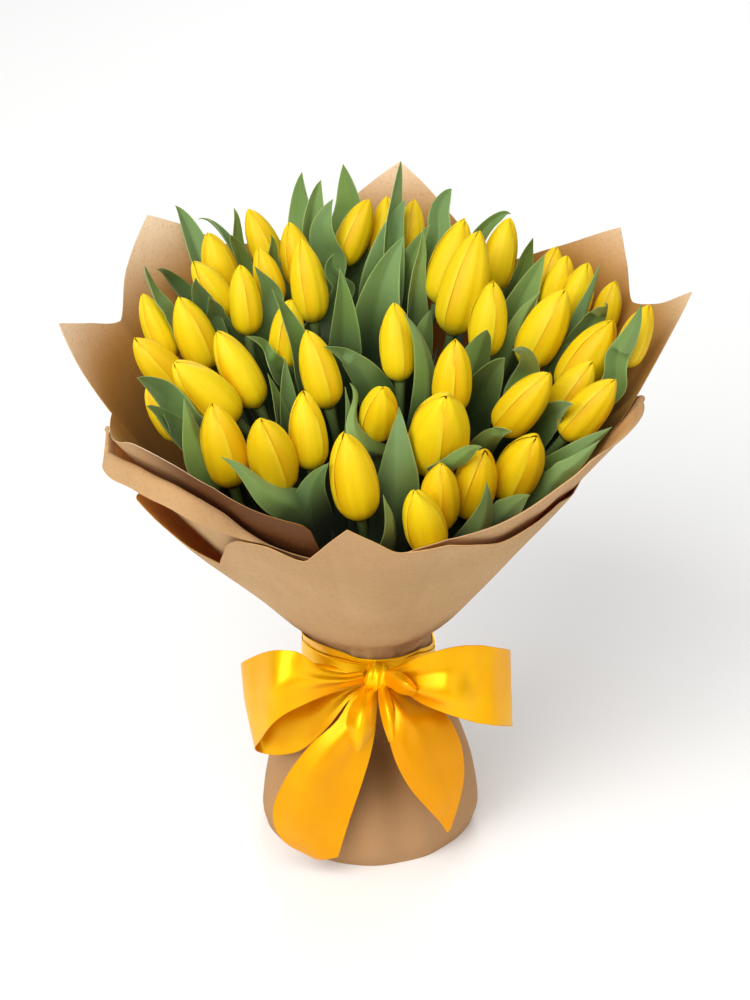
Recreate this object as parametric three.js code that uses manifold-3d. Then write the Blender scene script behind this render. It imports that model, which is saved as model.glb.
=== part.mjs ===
// A hand-tied bunch of yellow tulips in three sheets of brown kraft paper, closed by a satin ribbon.
// Millimetres, +Z up. The bunch stands on its cut stem ends, and the origin is the cut end of its
// middle stem. +X is to the right of someone who faces the bow, and +Y points away from them.
import * as THREE from "three";
import { mergeVertices } from "three/addons/utils/BufferGeometryUtils.js";
import Module from "manifold-3d";

const wasm = await Module();
wasm.setup();

// Driving dimensions.
const GAP = 0.3; // between solids that touch
const HEAD_SLIMNESS = 2.2; // a closed tulip head's length, foot to tip, over its width
const STEM_RADIUS = 3.2;
const PAPER = 0.8; // thickness
const RIBBON = 0.8; // thickness

const WAIST_HEIGHT = 146; // where the ribbon closes the paper
const WAIST_HALF = 11; // half the height of the narrow part
const WAIST_RADIUS = 39.2; // middle of the innermost sheet
const LAYER = 1.9; // from one sheet to the next at the waist

// How far the stems draw together, as a share of their heads' distances, and the most it may be.
const BUNDLE_WAIST = { share: 0.2, most: 31.4 };
const BUNDLE_FOOT = { share: 0.3, most: 49 };
const SPIRAL = 42; // degrees that the stems turn from the cut ends to the waist, and again to the heads

// The heads' and leaves' places are read off a picture of the bunch. This is the eye that saw it:
// how far away and how high it was, what it looked at, and how large a picture point is there.
const EYE = {
  distance: 1800,
  rise: THREE.MathUtils.degToRad(32),
  target: new THREE.Vector3(4.5, 0, 258.6),
  pointSize: 0.66,
  middle: [375, 500],
};

// The surface that the middles of the heads lie on: a low dome that leans towards the viewer.
const DOME = { top: 377, lean: 0.225, sag: 0.0009 };
const FARTHEST = 132; // no head is placed farther back than this

const toEye = new THREE.Vector3(0, -Math.cos(EYE.rise), Math.sin(EYE.rise));
const pictureUp = new THREE.Vector3(0, Math.sin(EYE.rise), Math.cos(EYE.rise));
const pictureRight = new THREE.Vector3(1, 0, 0);
const eyePlace = EYE.target.clone().addScaledVector(toEye, EYE.distance);

// The direction in which the eye sees a picture point.
function sight([across, down]) {
  return toEye
    .clone()
    .multiplyScalar(-EYE.distance / EYE.pointSize)
    .addScaledVector(pictureRight, across - EYE.middle[0])
    .addScaledVector(pictureUp, EYE.middle[1] - down)
    .normalize();
}

// Where the line of sight through a picture point meets the upright plane at this depth.
function atDepth(point, depth) {
  const d = sight(point);
  return eyePlace.clone().addScaledVector(d, (depth - eyePlace.y) / d.y);
}

// Where it meets the dome, raised by lift. The dome's far slope is out of use.
function onDome(point, lift = 0, farthest = FARTHEST) {
  const d = sight(point);
  const o = eyePlace;
  const a = DOME.sag * (d.x * d.x + d.y * d.y);
  const b = d.z - DOME.lean * d.y + 2 * DOME.sag * (o.x * d.x + o.y * d.y);
  const c = o.z - DOME.top - lift - DOME.lean * o.y + DOME.sag * (o.x * o.x + o.y * o.y);
  const reach = (-b - Math.sqrt(Math.max(0, b * b - 4 * a * c))) / (2 * a);
  const place = o.clone().addScaledVector(d, reach);
  return place.y > farthest ? atDepth(point, farthest) : place;
}

// Draws from a seed, so that the bunch is the same each time.
function drawFrom(seed) {
  let state = seed;
  return () => {
    state = (state * 1664525 + 1013904223) % 4294967296;
    return state / 4294967296;
  };
}

const mix = (a, b, t) => a + (b - a) * t;

// A solid from vertices and triangles, with its faces turned outwards.
function solidOf(points, triangles) {
  const positions = new Float32Array(points.flatMap((p) => [p.x, p.y, p.z]));
  const geometry = new THREE.BufferGeometry()
    .setAttribute("position", new THREE.BufferAttribute(positions, 3))
    .setIndex(triangles.flat());
  const merged = mergeVertices(geometry, 1e-4);
  const index = Array.from(merged.index.array);
  const at = merged.attributes.position;
  let volume = 0;
  const [p, q, r] = [new THREE.Vector3(), new THREE.Vector3(), new THREE.Vector3()];
  for (let i = 0; i < index.length; i += 3) {
    p.fromBufferAttribute(at, index[i]);
    q.fromBufferAttribute(at, index[i + 1]);
    r.fromBufferAttribute(at, index[i + 2]);
    volume += p.dot(q.cross(r));
  }
  const triVerts = new Uint32Array(volume < 0 ? index.reverse() : index);
  return new wasm.Manifold(new wasm.Mesh({ numProp: 3, vertProperties: at.array, triVerts }));
}

// A closed skin over a row of rings. A ring of one point is a tip or the middle of a flat end.
function skin(rings) {
  const points = rings.flat();
  const triangles = [];
  let start = 0;
  for (let i = 0; i + 1 < rings.length; i++) {
    const [n, m] = [rings[i].length, rings[i + 1].length];
    const next = start + n;
    for (let k = 0; k < Math.max(n, m); k++) {
      const [a, b] = [start + (k % n), start + ((k + 1) % n)];
      const [c, d] = [next + (k % m), next + ((k + 1) % m)];
      if (n > 1) triangles.push([a, b, d]);
      if (m > 1) triangles.push([a, d, c]);
    }
    start = next;
  }
  return solidOf(points, triangles);
}

// A thin plate on a grid of points, which may close on itself along its rows.
function plate(rows, thickness, closed = false) {
  const count = rows.length;
  const wide = rows[0].length;
  const row = (i) => rows[closed ? (i + count) % count : Math.min(Math.max(i, 0), count - 1)];
  const faces = [1, -1].map((side) =>
    rows.map((line, i) =>
      line.map((p, j) => {
        const along = row(i + 1)[j].clone().sub(row(i - 1)[j]);
        const up = line[Math.min(j + 1, wide - 1)].clone().sub(line[Math.max(j - 1, 0)]);
        return p.clone().addScaledVector(along.cross(up).normalize(), (side * thickness) / 2);
      }),
    ),
  );
  const rings = rows.map((_, i) => [...faces[0][i], ...faces[1][i].slice().reverse()]);
  const size = wide * 2;
  const triangles = [];
  for (let i = 0; i < (closed ? count : count - 1); i++) {
    const [here, there] = [i * size, ((i + 1) % count) * size];
    for (let k = 0; k < size; k++) {
      const [a, b] = [here + k, here + ((k + 1) % size)];
      const [c, d] = [there + k, there + ((k + 1) % size)];
      triangles.push([a, b, d], [a, d, c]);
    }
  }
  if (!closed) {
    const last = (count - 1) * size;
    for (let k = 0; k + 1 < wide; k++) {
      const [a, b, c, d] = [k, k + 1, size - 2 - k, size - 1 - k];
      triangles.push([a, c, b], [a, d, c]);
      triangles.push([last + a, last + b, last + c], [last + a, last + c, last + d]);
    }
  }
  return solidOf(rings.flat(), triangles);
}

// Paper. Each sheet is drawn by its free edge: the direction in degrees from the front towards +X,
// the height above the waist, and the distance from the middle. A sheet runs down to the waist in
// straight lines and spreads below it.
const BACK_SHEET = {
  layer: 0,
  closed: true,
  edge: [
    { turn: -371.5, high: 163, out: 144 },
    { turn: -360, high: 158, out: 141 },
    { turn: -340, high: 154, out: 138 },
    { turn: -320, high: 156, out: 139 },
    { turn: -300, high: 170, out: 149 },
    { turn: -284, high: 192, out: 165 },
    { turn: -276, high: 211, out: 177 },
    { turn: -270, high: 229, out: 189 },
    { turn: -263, high: 254, out: 207 },
    { turn: -255, high: 232, out: 192 },
    { turn: -249, high: 225, out: 187 },
    { turn: -241, high: 240, out: 197 },
    { turn: -235, high: 254, out: 207 },
    { turn: -221, high: 226, out: 188 },
    { turn: -212, high: 214, out: 179 },
    { turn: -205, high: 218, out: 182 },
    { turn: -197, high: 233, out: 193 },
    { turn: -191, high: 248, out: 203 },
    { turn: -186, high: 260, out: 211 },
    { turn: -178, high: 242, out: 199 },
    { turn: -166, high: 216, out: 181 },
    { turn: -150, high: 220, out: 184 },
    { turn: -140, high: 240, out: 197 },
    { turn: -133, high: 253, out: 206 },
    { turn: -122, high: 232, out: 192 },
    { turn: -111, high: 213, out: 179 },
    { turn: -102, high: 224, out: 187 },
    { turn: -93, high: 239, out: 197 },
    { turn: -86, high: 219, out: 183 },
    { turn: -79, high: 197, out: 168 },
    { turn: -66, high: 205, out: 173 },
    { turn: -54, high: 222, out: 184 },
    { turn: -45, high: 236, out: 194 },
    { turn: -38, high: 232, out: 192 },
    { turn: -31, high: 216, out: 181 },
    { turn: -23, high: 201, out: 170 },
    { turn: -13.7, high: 195, out: 166 },
    { turn: -12.2, high: 189, out: 162 },
  ],
};
// A cuff hangs this far below its crease and stands off it. Even a plain edge is turned out a little.
const CUFF = { drop: 15, out: 8, lip: 1, fold: 1.5 };
const MIDDLE_SHEET = {
  layer: 1,
  wrap: 1.2,
  footless: true,
  edge: [
    { turn: -72, high: 182, out: 168, cuff: 0 },
    { turn: -61, high: 202, out: 185, cuff: 0.5 },
    { turn: -55, high: 207, out: 181, cuff: 0.9 },
    { turn: -48, high: 211, out: 182, cuff: 1 },
    { turn: -41, high: 211, out: 183, cuff: 1 },
    { turn: -36, high: 206, out: 180, cuff: 0.9 },
    { turn: -32, high: 195, out: 172, cuff: 0.3 },
    { turn: -28, high: 178, out: 160, cuff: 0 },
    { turn: -22, high: 166, out: 152, cuff: 0 },
    { turn: -12, high: 160, out: 148, cuff: 0 },
    { turn: 0, high: 162, out: 149, cuff: 0 },
    { turn: 12, high: 178, out: 160, cuff: 0 },
    { turn: 20, high: 182, out: 163, cuff: 0 },
    { turn: 27, high: 186, out: 166, cuff: 0 },
    { turn: 33, high: 196, out: 173, cuff: 0 },
    { turn: 38, high: 218, out: 189, cuff: 0 },
    { turn: 47, high: 228, out: 192, cuff: 0 },
    { turn: 58, high: 220, out: 186, cuff: 0 },
    { turn: 70, high: 208, out: 179, cuff: 0 },
    { turn: 82, high: 195, out: 171, cuff: 0 },
    { turn: 88, high: 182, out: 162, cuff: 0 },
  ],
};
const OUTER_SHEET = {
  layer: 2,
  wrap: 1.5,
  edge: [
    { turn: -74, high: 146, out: 148 },
    { turn: -66, high: 157, out: 158 },
    { turn: -59, high: 166, out: 165 },
    { turn: -55, high: 157, out: 160 },
    { turn: -52, high: 131, out: 140 },
    { turn: -49, high: 116, out: 124 },
    { turn: -42, high: 136, out: 136 },
    { turn: -35, high: 157, out: 151 },
    { turn: -29, high: 168, out: 159 },
    { turn: -23, high: 171, out: 161 },
    { turn: -15, high: 161, out: 154 },
    { turn: -11, high: 174, out: 163 },
    { turn: -3.5, high: 211, out: 190 },
    { turn: 1, high: 198, out: 181 },
    { turn: 7, high: 181, out: 168 },
    { turn: 15, high: 181, out: 168 },
    { turn: 23, high: 174, out: 163 },
    { turn: 31, high: 167, out: 158 },
    { turn: 38, high: 181, out: 168 },
    { turn: 46, high: 186, out: 172 },
    { turn: 54, high: 179, out: 167 },
    { turn: 63, high: 170, out: 160 },
    { turn: 72, high: 164, out: 156 },
    { turn: 82, high: 154, out: 149 },
  ],
};

// The innermost sheet's free edge in a direction.
function edgeTowards(x, y) {
  const { edge } = BACK_SHEET;
  const turn = THREE.MathUtils.radToDeg(Math.atan2(x, -y));
  const from = edge[0].turn;
  const round = from + ((((turn - from) % 360) + 360) % 360);
  const next = edge.findIndex((point) => point.turn > round);
  const b = next < 0 ? { ...edge[0], turn: from + 360 } : edge[next];
  const a = next < 0 ? edge[edge.length - 1] : edge[next - 1];
  const t = (round - a.turn) / (b.turn - a.turn);
  return { high: mix(a.high, b.high, t), out: mix(a.out, b.out, t) };
}

// How far a ball reaches into the innermost sheet. Well above the free edge it is clear of it.
const PAPER_REST = 2.2;
const OVER_THE_EDGE = 14;
const FRONT_PEAK = 205; // the outer sheets stand this high where the innermost one is low
function beyondPaper(place, radius) {
  const { high, out } = edgeTowards(place.x, place.y);
  const height = place.z - WAIST_HEIGHT;
  if (height > Math.max(high, FRONT_PEAK) + OVER_THE_EDGE) return 0;
  const flare = (out - WAIST_RADIUS) / (high - WAIST_HALF);
  const inside = WAIST_RADIUS + flare * Math.max(0, height - WAIST_HALF);
  return Math.hypot(place.x, place.y) + radius + PAPER_REST - inside;
}

// Two directions square to an axis, the first as near to a hint as it can be.
function squareTo(axis, hint) {
  const first = hint.clone().addScaledVector(axis, -hint.dot(axis)).normalize();
  return [first, axis.clone().cross(first).normalize()];
}

// Each head in the picture: its tip, its foot and how wide it is. Where its foot is behind others,
// the foot only gives the direction.
const HEADS = [
  { tip: [209, 233], foot: [229, 297], wide: 33, hidden: true },
  { tip: [194, 262], foot: [231, 316], wide: 30, hidden: true },
  { tip: [249, 209], foot: [277, 276], wide: 31, hidden: true },
  { tip: [259, 247], foot: [276, 305], wide: 27, hidden: true },
  { tip: [241, 265], foot: [248, 334], wide: 31 },
  { tip: [290, 223], foot: [303, 288], wide: 31, hidden: true },
  { tip: [301, 239], foot: [314, 321], wide: 35 },
  { tip: [369, 199], foot: [341, 264], wide: 32, hidden: true },
  { tip: [387, 196], foot: [380, 262], wide: 28, hidden: true },
  { tip: [414, 200], foot: [407, 264], wide: 28, hidden: true },
  { tip: [465, 219], foot: [437, 302], wide: 38 },
  { tip: [479, 231], foot: [452, 333], wide: 46 },
  { tip: [509, 217], foot: [492, 290], wide: 33 },
  { tip: [493, 282], foot: [484, 355], wide: 36 },
  { tip: [394, 303], foot: [400, 380], wide: 35 },
  { tip: [455, 340], foot: [450, 412], wide: 38 },
  { tip: [445, 397], foot: [434, 466], wide: 60 },
  { tip: [557, 247], foot: [541, 308], wide: 30, hidden: true },
  { tip: [586, 264], foot: [570, 320], wide: 31, hidden: true },
  { tip: [564, 291], foot: [527, 364], wide: 42 },
  { tip: [614, 282], foot: [602, 330], wide: 26, hidden: true },
  { tip: [648, 305], foot: [624, 366], wide: 30, hidden: true, lift: 34 },
  { tip: [612, 320], foot: [566, 394], wide: 44 },
  { tip: [592, 362], foot: [556, 414], wide: 36, hidden: true },
  { tip: [549, 373], foot: [501, 431], wide: 41 },
  { tip: [614, 380], foot: [566, 437], wide: 38 },
  { tip: [535, 436], foot: [506, 496], wide: 45 },
  { tip: [484, 450], foot: [467, 514], wide: 44 },
  { tip: [441, 462], foot: [438, 528], wide: 40 },
  { tip: [414, 489], foot: [433, 552], wide: 41 },
  { tip: [291, 299], foot: [284, 362], wide: 34, hidden: true },
  { tip: [143, 293], foot: [171, 360], wide: 29 },
  { tip: [180, 297], foot: [207, 368], wide: 38 },
  { tip: [136, 339], foot: [181, 390], wide: 36 },
  { tip: [174, 362], foot: [235, 419], wide: 43 },
  { tip: [217, 331], foot: [258, 406], wide: 37 },
  { tip: [307, 329], foot: [329, 407], wide: 37 },
  { tip: [213, 403], foot: [232, 485], wide: 43 },
  { tip: [262, 419], foot: [279, 486], wide: 47 },
  { tip: [303, 391], foot: [312, 469], wide: 37 },
  { tip: [345, 432], foot: [361, 518], wide: 46 },
  { tip: [383, 388], foot: [376, 434], wide: 37 },
  { tip: [148, 385], foot: [176, 428], wide: 32, hidden: true },
  { tip: [566, 257], foot: [551, 312], wide: 30, hidden: true },
];

// How wide a head is along its axis, as shares of its length and of its radius.
const HEAD_OUTLINE = [
  { along: 0, wide: 0.3 },
  { along: 0.1, wide: 0.77 },
  { along: 0.37, wide: 1 },
  { along: 0.7, wide: 0.8 },
];
const PETALS = 3; // outer ones; as many inner ones show between them
// Across one outer petal and one inner: the edges stand out, the inner petal lies deeper.
const PETAL_WAVE = [
  { turn: 0, out: 1, tip: { along: 1, wide: 0.2 } },
  { turn: 38, out: 1.03, tip: { along: 0.88, wide: 0.48 } },
  { turn: 60, out: 0.9, tip: { along: 0.97, wide: 0.24 } },
  { turn: 82, out: 1.03, tip: { along: 0.88, wide: 0.48 } },
];
const WIDEST = 0.98; // of a head's radius, seen from the side
const CROWN_DEPTH = 0.84; // how deep the middle of the crown lies, as a share of the length

// A head's axis points from its foot to its tip. A head that looks short for its width is turned
// to the eye, and how much follows from its real length.
const MOST_SEEN = 0.96; // of a head's length, where it looks longest
const PART_HIDDEN = 0.9; // of it, where the foot is hidden
function placeHead({ tip, foot, wide, hidden = false, lift = 0 }, order) {
  const [dx, dy] = [tip[0] - foot[0], foot[1] - tip[1]];
  const drawn = Math.hypot(dx, dy);
  const share = (HEAD_SLIMNESS * wide * PART_HIDDEN) / drawn;
  const reach = hidden ? Math.max(1, share) : 1; // how far down a hidden foot really is
  const low = [tip[0] - dx * reach, tip[1] + dy * reach];
  const middle = onDome([(tip[0] + low[0]) / 2, (tip[1] + low[1]) / 2], lift);
  const scale = (middle.distanceTo(eyePlace) / EYE.distance) * EYE.pointSize;
  const seen = drawn * reach * scale;
  const length = Math.max(HEAD_SLIMNESS * wide * scale, seen / MOST_SEEN);
  const axis = pictureRight
    .clone()
    .multiplyScalar((dx / drawn) * seen)
    .addScaledVector(pictureUp, (dy / drawn) * seen)
    .addScaledVector(toEye, Math.sqrt(length * length - seen * seen))
    .normalize();
  const phase = drawFrom(order + 7)() * 120;
  return { middle, axis, length, radius: (wide * scale) / 2 / WIDEST, phase };
}

// Balls inside a head, which stand for it when clearances are worked out.
const BALLS = [-0.36, -0.18, 0, 0.2, 0.36];
const BALL_SIZES = [0.7, 0.98, 1.04, 0.9, 0.55];
const ballPlaces = (head) =>
  BALLS.map((share) => head.middle.clone().addScaledVector(head.axis, share * head.length));

function clearance(one, other) {
  const [a, b] = [ballPlaces(one), ballPlaces(other)];
  let least = Infinity;
  a.forEach((p, i) =>
    b.forEach((q, k) => {
      const reach = BALL_SIZES[i] * one.radius + BALL_SIZES[k] * other.radius;
      least = Math.min(least, p.distanceTo(q) - reach);
    }),
  );
  return least;
}

// Heads that would meet move apart along their lines of sight, which doesn't change where they are
// seen. One that would meet the paper comes forward, or at the front goes back.
const HEAD_CLEARANCE = 0.9;
const HEAD_REST = 3; // a head keeps this much farther from the paper
const FRONT_SHARE = 0.45;
const SETTLE_PASSES = 200;
const SETTLE_STEP = 0.45;
function settle(heads) {
  const away = heads.map((head) => head.middle.clone().sub(eyePlace).normalize());
  for (let pass = 0; pass < SETTLE_PASSES; pass++) {
    const moves = heads.map(() => 0);
    heads.forEach((one, i) =>
      heads.slice(i + 1).forEach((other, k) => {
        const j = i + 1 + k;
        if (one.middle.distanceTo(other.middle) > one.length + other.length) return;
        const short = HEAD_CLEARANCE - clearance(one, other);
        if (short <= 0) return;
        const nearer = one.middle.distanceTo(eyePlace) < other.middle.distanceTo(eyePlace) ? 1 : -1;
        moves[i] -= nearer * short * SETTLE_STEP;
        moves[j] += nearer * short * SETTLE_STEP;
      }),
    );
    heads.forEach((head, i) => {
      const inPaper = Math.max(
        ...ballPlaces(head).map((place, k) => beyondPaper(place, BALL_SIZES[k] * head.radius + HEAD_REST)),
      );
      const { x, y } = head.middle;
      const atFront = -y > FRONT_SHARE * Math.hypot(x, y);
      moves[i] += Math.max(0, inPaper) * SETTLE_STEP * (atFront ? 1 : -1);
      head.middle.addScaledVector(away[i], moves[i]);
    });
  }
  return heads;
}

const heads = settle(HEADS.map(placeHead));
const footOf = (head) => head.middle.clone().addScaledVector(head.axis, -head.length / 2);

function headSolid(head) {
  const [u, v] = squareTo(head.axis, new THREE.Vector3(1, 0, 0));
  const base = footOf(head);
  const at = (along, wide, degrees) => {
    const angle = THREE.MathUtils.degToRad(degrees + head.phase);
    return base
      .clone()
      .addScaledVector(head.axis, along * head.length)
      .addScaledVector(u, wide * head.radius * Math.cos(angle))
      .addScaledVector(v, wide * head.radius * Math.sin(angle));
  };
  const columns = [];
  for (let petal = 0; petal < PETALS; petal++)
    for (const wave of PETAL_WAVE) columns.push({ ...wave, turn: wave.turn + (petal * 360) / PETALS });
  return skin([
    [base],
    ...HEAD_OUTLINE.map(({ along, wide }) =>
      columns.map(({ turn, out }) => at(along, wide * (along > 0 ? out : 1), turn)),
    ),
    columns.map(({ turn, tip }) => at(tip.along, tip.wide, turn)),
    [at(CROWN_DEPTH, 0, 0)],
  ]);
}

// Stems. The bunch is bound on its middle stem, so each stem's place in the bundle is its head's
// place from there, drawn together at the waist, spread at the cut ends, and turned by the spiral.
const MIDDLE_HEAD = 14;
function inBundle(head, { share, most }, degrees, height) {
  const core = heads[MIDDLE_HEAD].middle;
  return new THREE.Vector3(head.middle.x - core.x, head.middle.y - core.y, 0)
    .multiplyScalar(share)
    .clampLength(0, most)
    .applyAxisAngle(new THREE.Vector3(0, 0, 1), THREE.MathUtils.degToRad(degrees))
    .setZ(height);
}

const STEM_PULL = 70; // how far a stem runs on straight below its head, and above the waist
const STEM_SPREAD = 1.35; // by then it is this much farther from the middle
function stemPath(head) {
  const cut = inBundle(head, BUNDLE_FOOT, 2 * SPIRAL, 0);
  const waist = inBundle(head, BUNDLE_WAIST, SPIRAL, WAIST_HEIGHT);
  const top = footOf(head).addScaledVector(head.axis, -2 * GAP);
  const rising = waist.clone().sub(cut).normalize();
  const lower = waist.clone().addScaledVector(rising, STEM_PULL);
  lower.x *= STEM_SPREAD;
  lower.y *= STEM_SPREAD;
  const upper = top.clone().addScaledVector(head.axis, -STEM_PULL);
  return { cut, waist, curve: new THREE.CubicBezierCurve3(waist, lower, upper, top) };
}

const STEM_SIDES = 4;
const STEM_STEPS = [0, 0.35, 0.7, 1];
function ringAround(place, axis, radius, sides) {
  const [u, v] = squareTo(axis, new THREE.Vector3(1, 0.2, 0));
  return Array.from({ length: sides }, (_, k) => {
    const angle = (k / sides) * 2 * Math.PI;
    return place
      .clone()
      .addScaledVector(u, radius * Math.cos(angle))
      .addScaledVector(v, radius * Math.sin(angle));
  });
}

function stemSolid(head) {
  const { cut, curve } = stemPath(head);
  const up = new THREE.Vector3(0, 0, 1);
  const rings = [[cut], ringAround(cut, up, STEM_RADIUS, STEM_SIDES)];
  for (const t of STEM_STEPS) {
    const place = bentClear(curve.getPoint(t), head);
    rings.push(ringAround(place, curve.getTangent(t), STEM_RADIUS, STEM_SIDES));
  }
  rings.push([curve.getPoint(1)]);
  return skin(rings);
}

// Leaves: tip and middle in the picture, the width across, and how far the blade is turned from
// facing the eye. Lift raises the tip above the heads' middles.
const LEAVES = [
  { tip: [174, 205], middle: [199, 250], wide: 20, turn: 25 },
  { tip: [198, 219], middle: [233, 245], wide: 18, turn: 60 },
  { tip: [234, 208], middle: [251, 262], wide: 20, turn: 55 },
  { tip: [231, 235], middle: [238, 278], wide: 18, turn: 55 },
  { tip: [271, 235], middle: [291, 293], wide: 22, turn: 35 },
  { tip: [302, 172], middle: [301, 236], wide: 26, turn: -25 },
  { tip: [321, 180], middle: [314, 236], wide: 22, turn: 30 },
  { tip: [333, 199], middle: [317, 260], wide: 26, turn: 15 },
  { tip: [343, 164], middle: [351, 230], wide: 30, turn: -10 },
  { tip: [145, 266], middle: [168, 312], wide: 18, turn: 50 },
  { tip: [157, 269], middle: [187, 298], wide: 18, turn: 40 },
  { tip: [209, 297], middle: [233, 346], wide: 28, turn: 0 },
  { tip: [196, 278], middle: [208, 326], wide: 22, turn: 20 },
  { tip: [249, 267], middle: [264, 335], wide: 30, turn: 0 },
  { tip: [272, 289], middle: [299, 346], wide: 20, turn: 30 },
  { tip: [334, 254], middle: [316, 318], wide: 26, turn: 20 },
  { tip: [340, 268], middle: [345, 340], wide: 24, turn: 25 },
  { tip: [246, 336], middle: [291, 374], wide: 20, turn: 30 },
  { tip: [323, 347], middle: [372, 386], wide: 26, turn: 0 },
  { tip: [345, 387], middle: [352, 450], wide: 16, turn: 35 },
  { tip: [350, 383], middle: [379, 442], wide: 18, turn: 25 },
  { tip: [285, 358], middle: [291, 422], wide: 18, turn: 35 },
  { tip: [268, 374], middle: [286, 428], wide: 16, turn: 35 },
  { tip: [184, 398], middle: [206, 466], wide: 28, turn: 15 },
  { tip: [137, 378], middle: [179, 406], wide: 24, turn: 10 },
  { tip: [147, 406], middle: [181, 432], wide: 20, turn: 30 },
  { tip: [221, 457], middle: [288, 502], wide: 26, turn: 10, lift: 22 },
  { tip: [329, 463], middle: [312, 502], wide: 26, turn: 0 },
  { tip: [399, 407], middle: [398, 482], wide: 30, turn: 0 },
  { tip: [383, 495], middle: [388, 534], wide: 18, turn: 45 },
  { tip: [401, 161], middle: [396, 216], wide: 20, turn: 55 },
  { tip: [406, 199], middle: [385, 266], wide: 30, turn: 0 },
  { tip: [404, 236], middle: [378, 312], wide: 34, turn: 10 },
  { tip: [452, 189], middle: [432, 230], wide: 20, turn: 15 },
  { tip: [430, 225], middle: [402, 292], wide: 24, turn: 15 },
  { tip: [423, 228], middle: [418, 312], wide: 20, turn: 40 },
  { tip: [431, 310], middle: [420, 352], wide: 18, turn: 25 },
  { tip: [404, 314], middle: [424, 376], wide: 20, turn: 35 },
  { tip: [511, 214], middle: [485, 242], wide: 20, turn: 20 },
  { tip: [533, 238], middle: [513, 292], wide: 22, turn: 30 },
  { tip: [545, 254], middle: [514, 322], wide: 28, turn: 10 },
  { tip: [541, 292], middle: [507, 352], wide: 20, turn: 40 },
  { tip: [600, 264], middle: [571, 332], wide: 20, turn: 45 },
  { tip: [606, 304], middle: [586, 334], wide: 20, turn: 20 },
  { tip: [641, 304], middle: [612, 367], wide: 26, turn: 10, lift: 26 },
  { tip: [512, 350], middle: [525, 376], wide: 22, turn: 15 },
  { tip: [505, 358], middle: [480, 396], wide: 28, turn: 0 },
  { tip: [573, 404], middle: [536, 428], wide: 26, turn: 0 },
  { tip: [612, 427], middle: [560, 464], wide: 22, turn: 10 },
  { tip: [600, 440], middle: [546, 488], wide: 20, turn: 25 },
  { tip: [486, 482], middle: [477, 528], wide: 20, turn: 15, lift: 22 },
  { tip: [537, 500], middle: [506, 514], wide: 20, turn: 15 },
  { tip: [487, 330], middle: [474, 362], wide: 22, turn: 10 },
  { tip: [482, 447], middle: [456, 468], wide: 18, turn: 25 },
  { tip: [512, 432], middle: [480, 448], wide: 20, turn: 25 },
];

const LEAF_LIFT = 20; // a tip stands this far above the heads' middles
const MIDDLE_SINK = 26; // and the blade's middle lies this far below them
const MIDDLE_SHARE = 0.6; // where along the blade its middle is measured
// Neighbours lie one behind the other: the farthest tips, their distance apart, and how much
// deeper each next middle lies. At the back the middles lean forward from their tips.
const LEAF_LAYERS = { count: 4, farthest: 152, apart: 11, deeper: 2, lean: 14 };
const SPINE_STEPS = 24;
const BLADE = 1.2; // thickness along the rib
const ROOT_WIDTH = 0.34;
const GUTTER = 0.16; // how deep the rib lies, as a share of the width

// A blade is widest at half its length and runs out to a point.
const TIP_POWER = 2.1;
function bladeWidth(t) {
  if (t < 0.5) return mix(ROOT_WIDTH, 1, Math.sin(t * Math.PI));
  return 1 - ((t - 0.5) * 2) ** TIP_POWER;
}

// The distance that a place must move along a direction to leave a head's smooth outline.
const HEAD_MARGIN = 1.3;
const OUTLINE = { wide: 1.04, long: 0.5 }; // shares of the head's radius and length
function wayOut(place, direction, head) {
  const size = head.radius * OUTLINE.wide + HEAD_MARGIN;
  const stretch = size / (head.length * OUTLINE.long + HEAD_MARGIN);
  const squeeze = (w) => w.clone().addScaledVector(head.axis, (stretch - 1) * w.dot(head.axis));
  const q = squeeze(place.clone().sub(head.middle));
  const d = squeeze(direction);
  const inside = q.lengthSq() - size * size;
  if (inside >= 0) return 0;
  const along = q.dot(d);
  return (-along + Math.sqrt(along * along - d.lengthSq() * inside)) / d.lengthSq();
}

// The direction square to a head's axis that leads from the axis to a place.
function asideOf(place, head) {
  const from = place.clone().sub(head.middle);
  return from.addScaledVector(head.axis, -from.dot(head.axis)).normalize();
}

// A stem's place, moved clear of every head but its own.
const FREE_HEIGHT = 30; // above the waist, where stems start to give way
const STEM_PASSES = 2;
function bentClear(place, own) {
  const moved = place.clone();
  for (let pass = 0; pass < STEM_PASSES; pass++)
    for (const head of heads) {
      if (head === own || place.z < WAIST_HEIGHT + FREE_HEIGHT) continue;
      const aside = asideOf(moved, head);
      const thick = moved.clone().addScaledVector(aside, -STEM_RADIUS);
      moved.addScaledVector(aside, wayOut(thick, aside, head));
    }
  const over = place.z > WAIST_HEIGHT + WAIST_HALF ? beyondPaper(moved, STEM_RADIUS) : 0;
  const towards = new THREE.Vector3(-moved.x, -moved.y, 0).normalize();
  return moved.addScaledVector(towards, Math.max(0, over));
}

const LEAF_REST = 3.2; // a blade keeps this much farther from the paper
function insidePaper(points) {
  let inward = 0;
  let way = new THREE.Vector3();
  for (const p of points) {
    const over = beyondPaper(p, LEAF_REST);
    if (over <= inward) continue;
    inward = over;
    way = new THREE.Vector3(-p.x, -p.y, 0).normalize();
  }
  return way.multiplyScalar(inward);
}

const STEM_TESTS = { first: 2, last: 14, count: 16 };
const nearestStem = (place) => {
  let best = { gap: Infinity };
  for (const head of heads) {
    const { curve } = stemPath(head);
    for (let k = STEM_TESTS.first; k <= STEM_TESTS.last; k++) {
      const point = bentClear(curve.getPoint(k / STEM_TESTS.count), head);
      const gap = point.distanceTo(place);
      if (gap < best.gap) best = { gap, point };
    }
  }
  return best.point;
};

const smoothed = (values) =>
  values.map((_, i) => {
    const near = [-2, -1, 0, 1, 2].map((k) => values[Math.min(Math.max(i + k, 0), values.length - 1)]);
    return near.reduce((sum, v) => sum.add(v), new THREE.Vector3()).multiplyScalar(1 / near.length);
  });

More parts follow.
